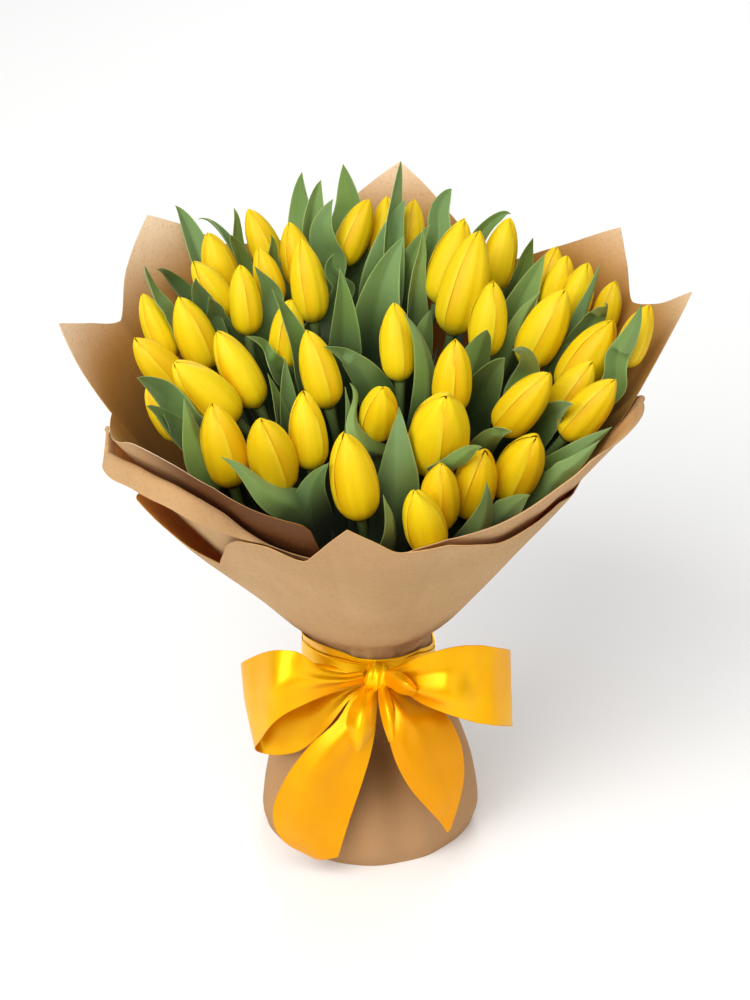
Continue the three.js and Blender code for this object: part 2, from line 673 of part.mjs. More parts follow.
// The line along a blade's rib, with the blade's width and its two directions at each step. The
// root sits in the stem nearest to it, and the line bends round the heads and away from the paper.
const ROOT_SHARE = 0.5; // from the blade's middle towards the waist
const CLEAR_PASSES = 5;
const HELD_STEPS = 2; // at the root, which stays in its stem
const AIM_HEIGHT = 60; // a blade's hollow side looks at the bunch's axis, this far above it
function leafSpine({ tip, middle, wide, turn, lift = LEAF_LIFT }, order) {
  const layer = order % LEAF_LAYERS.count;
  const farthest = LEAF_LAYERS.farthest - layer * LEAF_LAYERS.apart;
  const end = onDome(tip, lift, farthest);
  const half = onDome(middle, -MIDDLE_SINK - layer * LEAF_LAYERS.deeper, farthest - LEAF_LAYERS.lean);
  const waist = half.clone().multiplyScalar(BUNDLE_WAIST.share).setZ(WAIST_HEIGHT);
  const root = nearestStem(half.clone().lerp(waist, ROOT_SHARE));
  const t = MIDDLE_SHARE;
  const pull = half
    .clone()
    .addScaledVector(root, -((1 - t) ** 2))
    .addScaledVector(end, -(t ** 2))
    .multiplyScalar(1 / (2 * t * (1 - t)));
  const curve = new THREE.QuadraticBezierCurve3(root, pull, end);
  const steps = Array.from({ length: SPINE_STEPS + 1 }, (_, k) => {
    const share = k / SPINE_STEPS;
    const place = curve.getPoint(share);
    const along = curve.getTangent(share);
    const side = along.clone().cross(toEye).normalize();
    side.applyAxisAngle(along, THREE.MathUtils.degToRad(turn));
    const inward = side.clone().cross(along).normalize();
    const toAxis = new THREE.Vector3(-place.x, -place.y, AIM_HEIGHT);
    if (inward.dot(toAxis) < 0) inward.negate();
    return { place, side, inward, width: wide * bladeWidth(share) };
  });
  for (let pass = 0; pass < CLEAR_PASSES; pass++) {
    const moves = steps.map(({ place, side, inward, width }, k) => {
      const move = new THREE.Vector3();
      if (k < HELD_STEPS) return move;
      const edges = [-0.5, 0.5].map((s) => place.clone().addScaledVector(side, s * width));
      edges.push(place.clone().addScaledVector(inward, -GUTTER * width - BLADE / 2));
      for (const head of heads) {
        if (place.distanceTo(head.middle) > head.length + width) continue;
        const aside = asideOf(place, head);
        const out = Math.max(...edges.map((p) => wayOut(p, aside, head)));
        if (out > 0) move.addScaledVector(aside, out);
      }
      return move.add(insidePaper(edges));
    });
    const last = pass + 1 === CLEAR_PASSES;
    (last ? moves : smoothed(moves)).forEach((move, k) => steps[k].place.add(move));
  }
  return steps;
}

const LEAF_RINGS = [0, 8, 14, 19, 22];
function leafSolid(leaf, order) {
  const steps = leafSpine(leaf, order);
  const ring = ({ place, side, inward, width }) => {
    const rib = place.clone().addScaledVector(inward, -GUTTER * width);
    return [
      place.clone().addScaledVector(side, -width / 2),
      rib.clone().addScaledVector(inward, BLADE / 2),
      place.clone().addScaledVector(side, width / 2),
      rib.clone().addScaledVector(inward, -BLADE / 2),
    ];
  };
  const first = steps[LEAF_RINGS[0]].place;
  return skin([[first], ...LEAF_RINGS.map((k) => ring(steps[k])), [steps[SPINE_STEPS].place]]);
}

// Twine binds the stems under the paper and presses into them.
const TWINE_RADIUS = 1.4;
const TWINE_RING = WAIST_RADIUS - PAPER / 2 - 3 * GAP - TWINE_RADIUS;
const TWINE_SIDES = 5;
const TWINE_TURN = 18;
function twineGeometry(radius, turns) {
  const profile = Array.from({ length: TWINE_SIDES + 1 }, (_, k) => {
    const angle = ((k % TWINE_SIDES) / TWINE_SIDES) * 2 * Math.PI;
    return new THREE.Vector2(TWINE_RING + radius * Math.cos(angle), radius * Math.sin(angle));
  });
  return new THREE.LatheGeometry(profile, turns)
    .rotateX(Math.PI / 2)
    .translate(0, 0, WAIST_HEIGHT);
}

function solidFrom(geometry) {
  const plain = geometry.clone();
  plain.deleteAttribute("normal");
  plain.deleteAttribute("uv");
  const merged = mergeVertices(plain, 1e-4);
  const at = merged.attributes.position;
  const points = Array.from({ length: at.count }, (_, k) => new THREE.Vector3().fromBufferAttribute(at, k));
  const index = Array.from(merged.index.array);
  const triangles = [];
  for (let k = 0; k < index.length; k += 3) triangles.push(index.slice(k, k + 3));
  const whole = ([a, b, c]) => a !== b && b !== c && c !== a;
  return solidOf(points, triangles.filter(whole));
}

// Stems press together where they are bound, and this fills what is left between them.
const CORE = { radius: 30, half: 8, sides: 8 };
function coreSolid() {
  const up = new THREE.Vector3(0, 0, 1);
  const ends = [-1, 1].map((s) => new THREE.Vector3(0, 0, WAIST_HEIGHT + s * CORE.half));
  return skin([
    [ends[0]],
    ...ends.map((place) => ringAround(place, up, CORE.radius, CORE.sides)),
    [ends[1]],
  ]);
}

const FINEST = 0.05; // corners closer to a straight edge than this are dropped

// The largest of the bodies that a solid falls into.
function largestBody(solid) {
  const bodies = solid.decompose();
  return bodies.reduce((a, b) => (b.volume() > a.volume() ? b : a));
}

// The same solid with each corner that lies on another of its corners drawn in a little, so that
// surfaces which only touched along an edge come apart.
const DRAWN_IN = 0.03;
const SAME_PLACE = 2e-3;
function partedCorners(solid) {
  const { vertProperties, triVerts } = solid.getMesh();
  const corners = [];
  for (let k = 0; k < vertProperties.length; k += 3)
    corners.push(new THREE.Vector3().fromArray(vertProperties, k));
  const normals = corners.map(() => new THREE.Vector3());
  for (let k = 0; k < triVerts.length; k += 3) {
    const [a, b, c] = triVerts.subarray(k, k + 3);
    const normal = corners[b].clone().sub(corners[a]).cross(corners[c].clone().sub(corners[a]));
    for (const corner of [a, b, c]) normals[corner].add(normal);
  }
  const moved = corners.map((p, i) => {
    const touching = corners.some((q, j) => j !== i && p.distanceTo(q) < SAME_PLACE);
    return touching ? p.clone().addScaledVector(normals[i].normalize(), -DRAWN_IN) : p;
  });
  const places = new Float32Array(moved.flatMap((p) => [p.x, p.y, p.z]));
  return new wasm.Manifold(new wasm.Mesh({ numProp: 3, vertProperties: places, triVerts }));
}

// Room around a head for its neighbours.
const HEAD_ROOM = 1.5; // gaps
function roomAround(head) {
  const room = GAP * HEAD_ROOM;
  const grown = { ...head, radius: head.radius + room, length: head.length + 2 * room };
  return headSolid(grown);
}

function greensSolid() {
  const blades = LEAVES.map(leafSolid);
  const stems = heads.map(stemSolid);
  const twineRoom = solidFrom(twineGeometry(TWINE_RADIUS + GAP, TWINE_TURN));
  const room = wasm.Manifold.union([...heads.map(roomAround), twineRoom]);
  const bundle = wasm.Manifold.union([coreSolid(), ...stems, ...blades]);
  return partedCorners(largestBody(bundle.subtract(room)).simplify(FINEST));
}

// The skirt under the waist: how wide it is across and from front to back.
const SKIRT = [
  { height: 0, across: 69.5, deep: 59 },
  { height: 17, across: 73.5, deep: 66 },
  { height: 50, across: 69.5, deep: 68 },
  { height: 102, across: 52, deep: 52 },
];
const RISE = [0.14, 0.5, 1]; // shares of the way from the waist to the free edge
const PLEAT_DEPTH = 1.2; // every other column of the innermost sheet is folded in above the waist

function sheetSolid({ edge, layer, closed = false, wrap = 1, footless = false }) {
  const waist = WAIST_RADIUS + layer * LAYER;
  const low = WAIST_HEIGHT - WAIST_HALF;
  const top = WAIST_HEIGHT + WAIST_HALF;
  const rows = edge.map(({ turn, high, out, cuff }, k) => {
    const at = (height, across, deep, round) => {
      const angle = THREE.MathUtils.degToRad(turn * round);
      return new THREE.Vector3(across * Math.sin(angle), -deep * Math.cos(angle), height);
    };
    const skirt = footless
      ? []
      : SKIRT.map((s) => at(s.height, s.across + layer * LAYER, s.deep + layer * LAYER, wrap));
    const pleat = layer === 0 && k % 2 ? PLEAT_DEPTH : 0;
    const rise = RISE.map((share) => {
      const radius = mix(waist, out, share) - pleat * (1 - share);
      return at(mix(top, WAIST_HEIGHT + high, share), radius, radius, mix(wrap, 1, share));
    });
    const hem = out + CUFF.fold + CUFF.out * cuff;
    const drop = (CUFF.lip + CUFF.drop) * cuff - CUFF.lip;
    const folded = cuff === undefined ? [] : [at(WAIST_HEIGHT + high - drop, hem, hem, 1)];
    return [...skirt, at(low, waist, waist, wrap), at(top, waist, waist, wrap), ...rise, ...folded];
  });
  return plate(rows, PAPER, closed);
}

// The ribbon's band round the waist, wide behind and drawn narrow where the bow is.
const BAND_RADIUS = WAIST_RADIUS + 2 * LAYER + PAPER / 2 + 3 * GAP + RIBBON / 2;
const BAND_SIDES = 24;
const BAND = { half: 10, narrow: 5, power: 0.7 };
function bandSolid(thickness = RIBBON) {
  const rows = Array.from({ length: BAND_SIDES }, (_, k) => {
    const angle = (k / BAND_SIDES) * 2 * Math.PI;
    const [x, y] = [BAND_RADIUS * Math.sin(angle), -BAND_RADIUS * Math.cos(angle)];
    const front = Math.max(0, Math.cos(angle));
    const half = mix(BAND.half, BAND.narrow, front ** BAND.power);
    return [-1, 1].map((s) => new THREE.Vector3(x, y, WAIST_HEIGHT + s * half));
  });
  return plate(rows, thickness, true);
}

// The bow, in stretches of ribbon. Each step across a stretch gives the ribbon's two edges in the
// picture, with the depth of each.
const BOW = {
  leftLoop: [
    { upper: [368, 672, -50], lower: [370, 686, -52] },
    { upper: [330, 655, -62], lower: [338, 700, -72] },
    { upper: [292, 650, -62], lower: [300, 722, -78] },
    { upper: [258, 655, -52], lower: [268, 744, -68] },
    { upper: [242, 662, -40], lower: [256, 748, -56] },
    { upper: [256, 660, -30], lower: [268, 742, -46] },
    { upper: [292, 656, -44], lower: [300, 734, -64] },
    { upper: [330, 660, -50], lower: [336, 712, -66] },
    { upper: [366, 676, -47], lower: [368, 690, -49] },
  ],
  rightLoop: [
    { upper: [386, 672, -50], lower: [384, 688, -52] },
    { upper: [424, 655, -62], lower: [420, 704, -72] },
    { upper: [462, 645, -62], lower: [456, 720, -78] },
    { upper: [494, 647, -52], lower: [490, 726, -68] },
    { upper: [511, 650, -38], lower: [511, 725, -54] },
    { upper: [496, 648, -28], lower: [492, 722, -44] },
    { upper: [462, 650, -42], lower: [458, 714, -60] },
    { upper: [424, 658, -50], lower: [420, 702, -64] },
    { upper: [388, 676, -47], lower: [386, 690, -49] },
  ],
  leftTail: [
    { upper: [360, 684, -52], lower: [378, 688, -54] },
    { upper: [334, 722, -70], lower: [377, 724, -72] },
    { upper: [300, 768, -77], lower: [368, 768, -82] },
    { upper: [274, 812, -76], lower: [352, 812, -80] },
    { upper: [316, 852, -76], lower: [338, 850, -79] },
  ],
  rightTail: [
    { upper: [379, 688, -54], lower: [396, 686, -52] },
    { upper: [384, 722, -71], lower: [436, 716, -68] },
    { upper: [402, 766, -82], lower: [462, 756, -74] },
    { upper: [428, 806, -83], lower: [463, 784, -73] },
    { upper: [447, 831, -80], lower: [464, 792, -73] },
  ],
};
const KNOT = {
  middle: [377, 679],
  depth: -51.5,
  half: [11, 6.5, 10],
  sides: 8,
  end: { at: 0.8, wide: 0.75 },
};

function stretchSolid(steps) {
  const rows = steps.map(({ upper, lower }) => {
    const [a, b] = [upper, lower].map(([x, y, depth]) => atDepth([x, y], depth));
    return [a, a.clone().lerp(b, 0.5), b];
  });
  return plate(rows, RIBBON);
}

function knotSolid() {
  const middle = atDepth(KNOT.middle, KNOT.depth);
  const [wide, deep, tall] = KNOT.half;
  const ring = (height, share) =>
    Array.from({ length: KNOT.sides }, (_, k) => {
      const angle = (k / KNOT.sides) * 2 * Math.PI;
      return middle
        .clone()
        .add(new THREE.Vector3(wide * share * Math.cos(angle), deep * share * Math.sin(angle), height));
    });
  return skin([
    [middle.clone().add(new THREE.Vector3(0, 0, -tall))],
    ring(-tall * KNOT.end.at, KNOT.end.wide),
    ring(0, 1),
    ring(tall * KNOT.end.at, KNOT.end.wide),
    [middle.clone().add(new THREE.Vector3(0, 0, tall))],
  ]);
}

function bowSolid(keepClear) {
  const whole = wasm.Manifold.union([knotSolid(), ...Object.values(BOW).map(stretchSolid)]);
  return largestBody(whole.subtract(keepClear));
}

const FINISHES = {
  petal: new THREE.MeshStandardMaterial({ color: 0xf6cf0c, roughness: 0.5, metalness: 0 }),
  green: new THREE.MeshStandardMaterial({ color: 0x55793a, roughness: 0.55, metalness: 0 }),
  paper: new THREE.MeshStandardMaterial({ color: 0xb98f66, roughness: 0.85, metalness: 0 }),
  ribbon: new THREE.MeshStandardMaterial({ color: 0xf6ae06, roughness: 0.32, metalness: 0 }),
  twine: new THREE.MeshStandardMaterial({ color: 0xc9b183, roughness: 0.9, metalness: 0 }),
};

function meshOf(name, solid, finish) {
  const { vertProperties, triVerts } = solid.getMesh();
  const geometry = new THREE.BufferGeometry()
    .setAttribute("position", new THREE.BufferAttribute(new Float32Array(vertProperties), 3))
    .setIndex(new THREE.BufferAttribute(new Uint32Array(triVerts), 1));
  geometry.computeVertexNormals();
  const mesh = new THREE.Mesh(geometry, finish);
  mesh.name = name;
  return mesh;
}

const bunch = new THREE.Group();
heads.forEach((head, k) => {
  bunch.add(meshOf(`tulip_head_${String(k + 1).padStart(2, "0")}`, headSolid(head), FINISHES.petal));
});
bunch.add(meshOf("stems_and_leaves", greensSolid(), FINISHES.green));
bunch.add(meshOf("binding_twine", solidFrom(twineGeometry(TWINE_RADIUS, TWINE_TURN)), FINISHES.twine));
bunch.add(meshOf("paper_back", sheetSolid(BACK_SHEET), FINISHES.paper));
bunch.add(meshOf("paper_middle", sheetSolid(MIDDLE_SHEET), FINISHES.paper));
bunch.add(meshOf("paper_outer", sheetSolid(OUTER_SHEET), FINISHES.paper));
bunch.add(meshOf("ribbon_band", bandSolid(), FINISHES.ribbon));
bunch.add(meshOf("ribbon_bow", bowSolid(bandSolid(RIBBON + 2 * GAP)), FINISHES.ribbon));

export default bunch;
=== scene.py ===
"""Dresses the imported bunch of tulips: petals, leaves, kraft paper, satin ribbon and a plain studio.

Lengths are in millimetres until a mesh is made. +Z is up, the bow looks along -Y, and +X is to the
right of someone who faces it.
"""

from __future__ import annotations

import logging
import math
from collections.abc import Sequence
from dataclasses import dataclass, field
from enum import Enum

import bpy
import numpy as np
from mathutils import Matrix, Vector

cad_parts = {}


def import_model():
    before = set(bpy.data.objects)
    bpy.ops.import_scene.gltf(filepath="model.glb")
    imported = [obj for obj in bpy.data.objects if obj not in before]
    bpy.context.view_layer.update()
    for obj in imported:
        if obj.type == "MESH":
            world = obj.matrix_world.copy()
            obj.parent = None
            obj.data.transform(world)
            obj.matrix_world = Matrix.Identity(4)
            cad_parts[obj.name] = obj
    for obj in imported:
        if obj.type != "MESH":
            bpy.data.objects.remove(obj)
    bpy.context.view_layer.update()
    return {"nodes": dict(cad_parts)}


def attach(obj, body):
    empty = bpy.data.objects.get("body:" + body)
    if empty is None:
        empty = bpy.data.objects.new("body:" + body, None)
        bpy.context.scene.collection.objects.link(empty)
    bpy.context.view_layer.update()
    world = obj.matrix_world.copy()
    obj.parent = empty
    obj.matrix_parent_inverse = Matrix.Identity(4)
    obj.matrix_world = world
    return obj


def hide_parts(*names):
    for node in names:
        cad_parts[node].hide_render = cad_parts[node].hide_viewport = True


log = logging.getLogger("tulips")
Array = np.ndarray
Socket = bpy.types.NodeSocket
Pair = tuple[float, float]
Triple = tuple[float, float, float]
Colour = Triple
Row = tuple[float, ...]
MM = 0.001
BODY = "root"
SHARP_ANGLE = 52.0
# The waist is where the ribbon holds the bunch. A layer is the room of one sheet there.
WAIST_HEIGHT = 146.0
WAIST_HALF = 11.0
WAIST_RADIUS = 39.2
LAYER = 1.9


def unit(v: Array) -> Array:
    """Vectors scaled to length one."""
    return v / np.maximum(np.linalg.norm(v, axis=-1, keepdims=True), 1e-9)


def mix(a: Array | float, b: Array | float, t: Array | float) -> Array | float:
    """The value a share t of the way from a to b."""
    return a + (b - a) * t


def ease(t: Array) -> Array:
    """A smooth step from 0 to 1: 3t^2 - 2t^3 with t held between them."""
    t = np.clip(t, 0, 1)
    return t * t * (3 - 2 * t)


def hump(x: Array, middle: float, width: float) -> Array:
    """A bell curve of height 1."""
    return np.exp(-(((x - middle) / width) ** 2))


def dot(a: Array, b: Array) -> Array:
    """Scalar products along the last axis."""
    return np.sum(a * b, axis=-1)


def wrapped(degrees: Array) -> Array:
    """Directions brought between -180 and 180 degrees."""
    return (degrees + 180) % 360 - 180


def parabola(a: Array, b: Array, c: Array, t: Array) -> Array:
    """The curve from a to c that b pulls: (1 - t)^2 a + 2 t (1 - t) b + t^2 c."""
    return (1 - t) ** 2 * a + 2 * t * (1 - t) * b + t**2 * c


def places_round(angle: Array, out: Array, height: Array, deep: Array | None = None) -> Array:
    """Places at angles from the front towards +X, at distances out and at heights.

    Args:
        angle: angles in radians.
        out: distances from the middle, or half widths if deep is given.
        height: heights.
        deep: half depths of an oval.

    Returns:
        The places.
    """
    back = out if deep is None else deep
    return np.stack([out * np.sin(angle), -back * np.cos(angle), height], axis=-1)


def pattern(across: Array, along: Array) -> Array:
    """Pattern positions of a grid."""
    return np.stack(np.broadcast_arrays(across, along), -1)


def smooth_curve(knots: Sequence[float], values: Sequence[float], at: Array) -> Array:
    """A curve through points that never overshoots them.

    Cubic Hermite pieces whose slope at a point is the weighted harmonic mean of the slopes on its
    two sides, or zero where those differ in sign.

    Args:
        knots: rising positions of the points.
        values: their heights.
        at: where the curve is wanted.

    Returns:
        The curve's heights there.
    """
    x, y = np.asarray(knots, float), np.asarray(values, float)
    at = np.clip(np.asarray(at, float), x[0], x[-1])
    h = np.diff(x)
    d = np.diff(y) / h
    slope = np.zeros_like(y)
    slope[0], slope[-1] = d[0], d[-1]
    before, after = 2 * h[1:] + h[:-1], h[1:] + 2 * h[:-1]
    safe = np.where(d == 0, 1.0, d)
    mean = (before + after) / (before / safe[:-1] + after / safe[1:])
    slope[1:-1] = np.where(d[:-1] * d[1:] > 0, mean, 0)
    k = np.clip(np.searchsorted(x, at, side="right") - 1, 0, len(h) - 1)
    t = (at - x[k]) / h[k]
    rise = h[k] * ((t**3 - 2 * t**2 + t) * slope[k] + (t**3 - t**2) * slope[k + 1])
    return mix(y[k], y[k + 1], ease(t)) + rise


def creased_curve(knots: Array, values: Array, corners: Sequence[float], at: Array) -> Array:
    """smooth_curve in stretches that meet at corners.

    Args:
        knots: rising positions of the points.
        values: their heights.
        corners: positions among the knots where the curve has a corner.
        at: where the curve is wanted.

    Returns:
        The curve's heights there.
    """
    cuts = sorted({0, len(knots) - 1, *(int(np.argmin(abs(knots - c))) for c in corners)})
    result = np.zeros_like(at)
    for a, b in zip(cuts[:-1], cuts[1:]):
        here = (at >= knots[a]) & (at <= knots[b])
        result[here] = smooth_curve(knots[a : b + 1], values[a : b + 1], at[here])
    return result


def through(points: Array, count: int) -> Array:
    """A Catmull-Rom curve through the points of the first axis.

    Args:
        points: any array whose first axis runs along the curve.
        count: how many points are wanted, evenly spaced in the curve's parameter.

    Returns:
        The array with its first axis resampled.
    """
    p = np.concatenate([[2 * points[0] - points[1]], points, [2 * points[-1] - points[-2]]])
    s = np.linspace(0, len(points) - 1, count)
    k = np.minimum(s.astype(int), len(points) - 2)
    t = (s - k).reshape((-1,) + (1,) * (points.ndim - 1))
    a, b, c, d = p[k], p[k + 1], p[k + 2], p[k + 3]
    return 0.5 * (
        2 * b + (c - a) * t + (2 * a - 5 * b + 4 * c - d) * t**2 + (3 * b - a - 3 * c + d) * t**3
    )


def turned(v: Array, axis: Array, angle: Array | float) -> Array:
    """Vectors turned about unit axes by an angle in radians, by Rodrigues' formula."""
    c, s = (np.asarray(w)[..., None] for w in (np.cos(angle), np.sin(angle)))
    return v * c + np.cross(axis, v) * s + axis * dot(axis, v)[..., None] * (1 - c)


# Meshes


@dataclass
class Skin:
    """A closed surface: corners, faces, and what the finish reads at each corner."""

    points: Array
    faces: list[Array]
    uv: Array
    marks: dict[str, Array] = field(default_factory=dict)

    @staticmethod
    def joined(skins: Sequence[Skin]) -> Skin:
        """Several skins as one.

        Args:
            skins: the skins.

        Returns:
            The joined skin.
        """
        starts = np.cumsum([0] + [len(s.points) for s in skins])
        return Skin(
            np.concatenate([s.points for s in skins]),
            [f + start for s, start in zip(skins, starts) for f in s.faces],
            np.concatenate([s.uv for s in skins]),
            {m: np.concatenate([s.marks[m] for s in skins]) for m in skins[0].marks},
        )


def grid_normals(grid: Array, closed: bool = False) -> Array:
    """Unit normals of a grid of points: the cross product of its two difference vectors.

    Args:
        grid: rows of points.
        closed: whether the last row runs into the first.

    Returns:
        A unit vector for each point.
    """
    if closed:
        along = np.roll(grid, -1, axis=0) - np.roll(grid, 1, axis=0)
    else:
        along = np.gradient(grid, axis=0)
    return unit(np.cross(along, np.gradient(grid, axis=1)))


def shell(
    grid: Array, thickness: Array | float, uv: Array, closed: bool = False, **marks: Array | float
) -> Skin:
    """A thin closed sheet around a grid of points.

    Its two faces are the grid moved by half the thickness along its normals, joined round the rim.

    Args:
        grid: (n, m, 3) middle surface.
        thickness: one value or (n, m) values.
        uv: (n, m, 2) pattern positions.
        closed: whether the first axis goes round and meets itself.
        marks: more values for the finish, each one number or (n, m) numbers.

    Returns:
        The sheet. Its mark "inside" is 1 on the face that the normals point away from.
    """
    n, m = grid.shape[:2]
    half = np.broadcast_to(np.asarray(thickness, float), (n, m))[..., None] / 2
    lift = grid_normals(grid, closed) * half
    points = np.concatenate([(grid + lift).reshape(-1, 3), (grid - lift).reshape(-1, 3)])
    index = np.arange(n * m).reshape(n, m)
    if closed:
        index = np.concatenate([index, index[:1]])
    front = np.stack([index[:-1, :-1], index[1:, :-1], index[1:, 1:], index[:-1, 1:]], -1)
    front = front.reshape(-1, 4)
    edges = [(index[1:, 0], index[:-1, 0]), (index[:-1, -1], index[1:, -1])]
    if not closed:
        edges += [(index[0, :-1], index[0, 1:]), (index[-1, 1:], index[-1, :-1])]
    rims = [np.stack([p, q, q + n * m, p + n * m], -1) for p, q in edges]
    twice = {key: np.tile(np.broadcast_to(v, (n, m)).ravel(), 2) for key, v in marks.items()}
    inside = np.repeat([0.0, 1.0], n * m)
    faces = [front, front[:, ::-1] + n * m, *rims]
    return Skin(points, faces, np.tile(uv.reshape(-1, 2), (2, 1)), {"inside": inside, **twice})


def tube(path: Array, radius: Array | float, sides: int, flat_start: bool = False) -> Skin:
    """A closed tube along a path. Each ring is square to it, and a fan closes each end.

    Args:
        path: (n, 3) centre line.
        radius: one value or (n,) values.
        sides: corners of each ring.
        flat_start: whether the first ring lies level.

    Returns:
        The tube.
    """
    n = len(path)
    along = unit(np.gradient(path, axis=0))
    if flat_start:
        along[0] = (0, 0, 1)
    hint = np.array([1.0, 0.2, 0])
    u = unit(hint - along * dot(along, hint)[:, None])
    v = np.cross(along, u)
    size = np.broadcast_to(np.asarray(radius, float), (n,))[:, None, None]
    angle = np.linspace(0, 2 * np.pi, sides, endpoint=False)[None, :, None]
    rings = path[:, None] + size * (u[:, None] * np.cos(angle) + v[:, None] * np.sin(angle))
    index = np.arange(n * sides).reshape(n, sides)
    index = np.concatenate([index, index[:, :1]], axis=1)
    wall = np.stack([index[:-1, :-1], index[:-1, 1:], index[1:, 1:], index[1:, :-1]], -1)
    low, high = (np.full(sides, n * sides + end) for end in (0, 1))
    fans = [
        np.stack([low, index[0, 1:], index[0, :-1]], -1),
        np.stack([high, index[-1, :-1], index[-1, 1:]], -1),
    ]
    turn = np.linspace(0, 1, sides, endpoint=False)[None, :]
    uv = pattern(turn, np.linspace(0, 1, n)[:, None]).reshape(-1, 2)
    uv = np.concatenate([uv, [[0, 0], [0, 1]]])
    points = np.concatenate([rings.reshape(-1, 3), path[:1], path[-1:]])
    zero = np.zeros(len(uv))
    return Skin(points, [wall.reshape(-1, 4), *fans], uv, {"inside": zero, "tint": zero})


def make_piece(
    name: str, skin: Skin, finish: Finish, replaces: Sequence[str] = ()
) -> bpy.types.Object:
    """Makes an object of a skin, in metres, and lets it ride on the bunch.

    Args:
        name: the object's name.
        skin: its surface.
        finish: its finish.
        replaces: CAD nodes that it stands for.

    Returns:
        The object.
    """
    mesh = bpy.data.meshes.new(name)
    sizes = np.concatenate([np.full(len(f), f.shape[1]) for f in skin.faces])
    flat = np.concatenate([f.ravel() for f in skin.faces]).astype(np.int32)
    mesh.vertices.add(len(skin.points))
    mesh.vertices.foreach_set("co", (skin.points * MM).astype(np.float32).ravel())
    mesh.loops.add(len(flat))
    mesh.loops.foreach_set("vertex_index", flat)
    mesh.polygons.add(len(sizes))
    mesh.polygons.foreach_set("loop_start", (np.cumsum(sizes) - sizes).astype(np.int32))
    mesh.update(calc_edges=True)
    layer = mesh.uv_layers.new(name="UVMap")
    layer.data.foreach_set("uv", skin.uv[flat].astype(np.float32).ravel())
    for mark, values in skin.marks.items():
        store = mesh.attributes.new(mark, "FLOAT", "POINT")
        store.data.foreach_set("value", values.astype(np.float32))
    mesh.polygons.foreach_set("use_smooth", np.ones(len(sizes), bool))
    mesh.set_sharp_from_angle(angle=math.radians(SHARP_ANGLE))
    mesh.validate()
    mesh.materials.append(finish.material())
    piece = placed(name, mesh)
    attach(piece, BODY)
    if replaces:
        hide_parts(*replaces)
    log.info("%s: %d faces", name, len(sizes))
    return piece


def placed(name: str, data: bpy.types.ID) -> bpy.types.Object:
    """A new object in the scene.

    Args:
        name: its name.
        data: its mesh, lamp or camera.

    Returns:
        The object.
    """
    made = bpy.data.objects.new(name, data)
    bpy.context.scene.collection.objects.link(made)
    return made


# Finishes


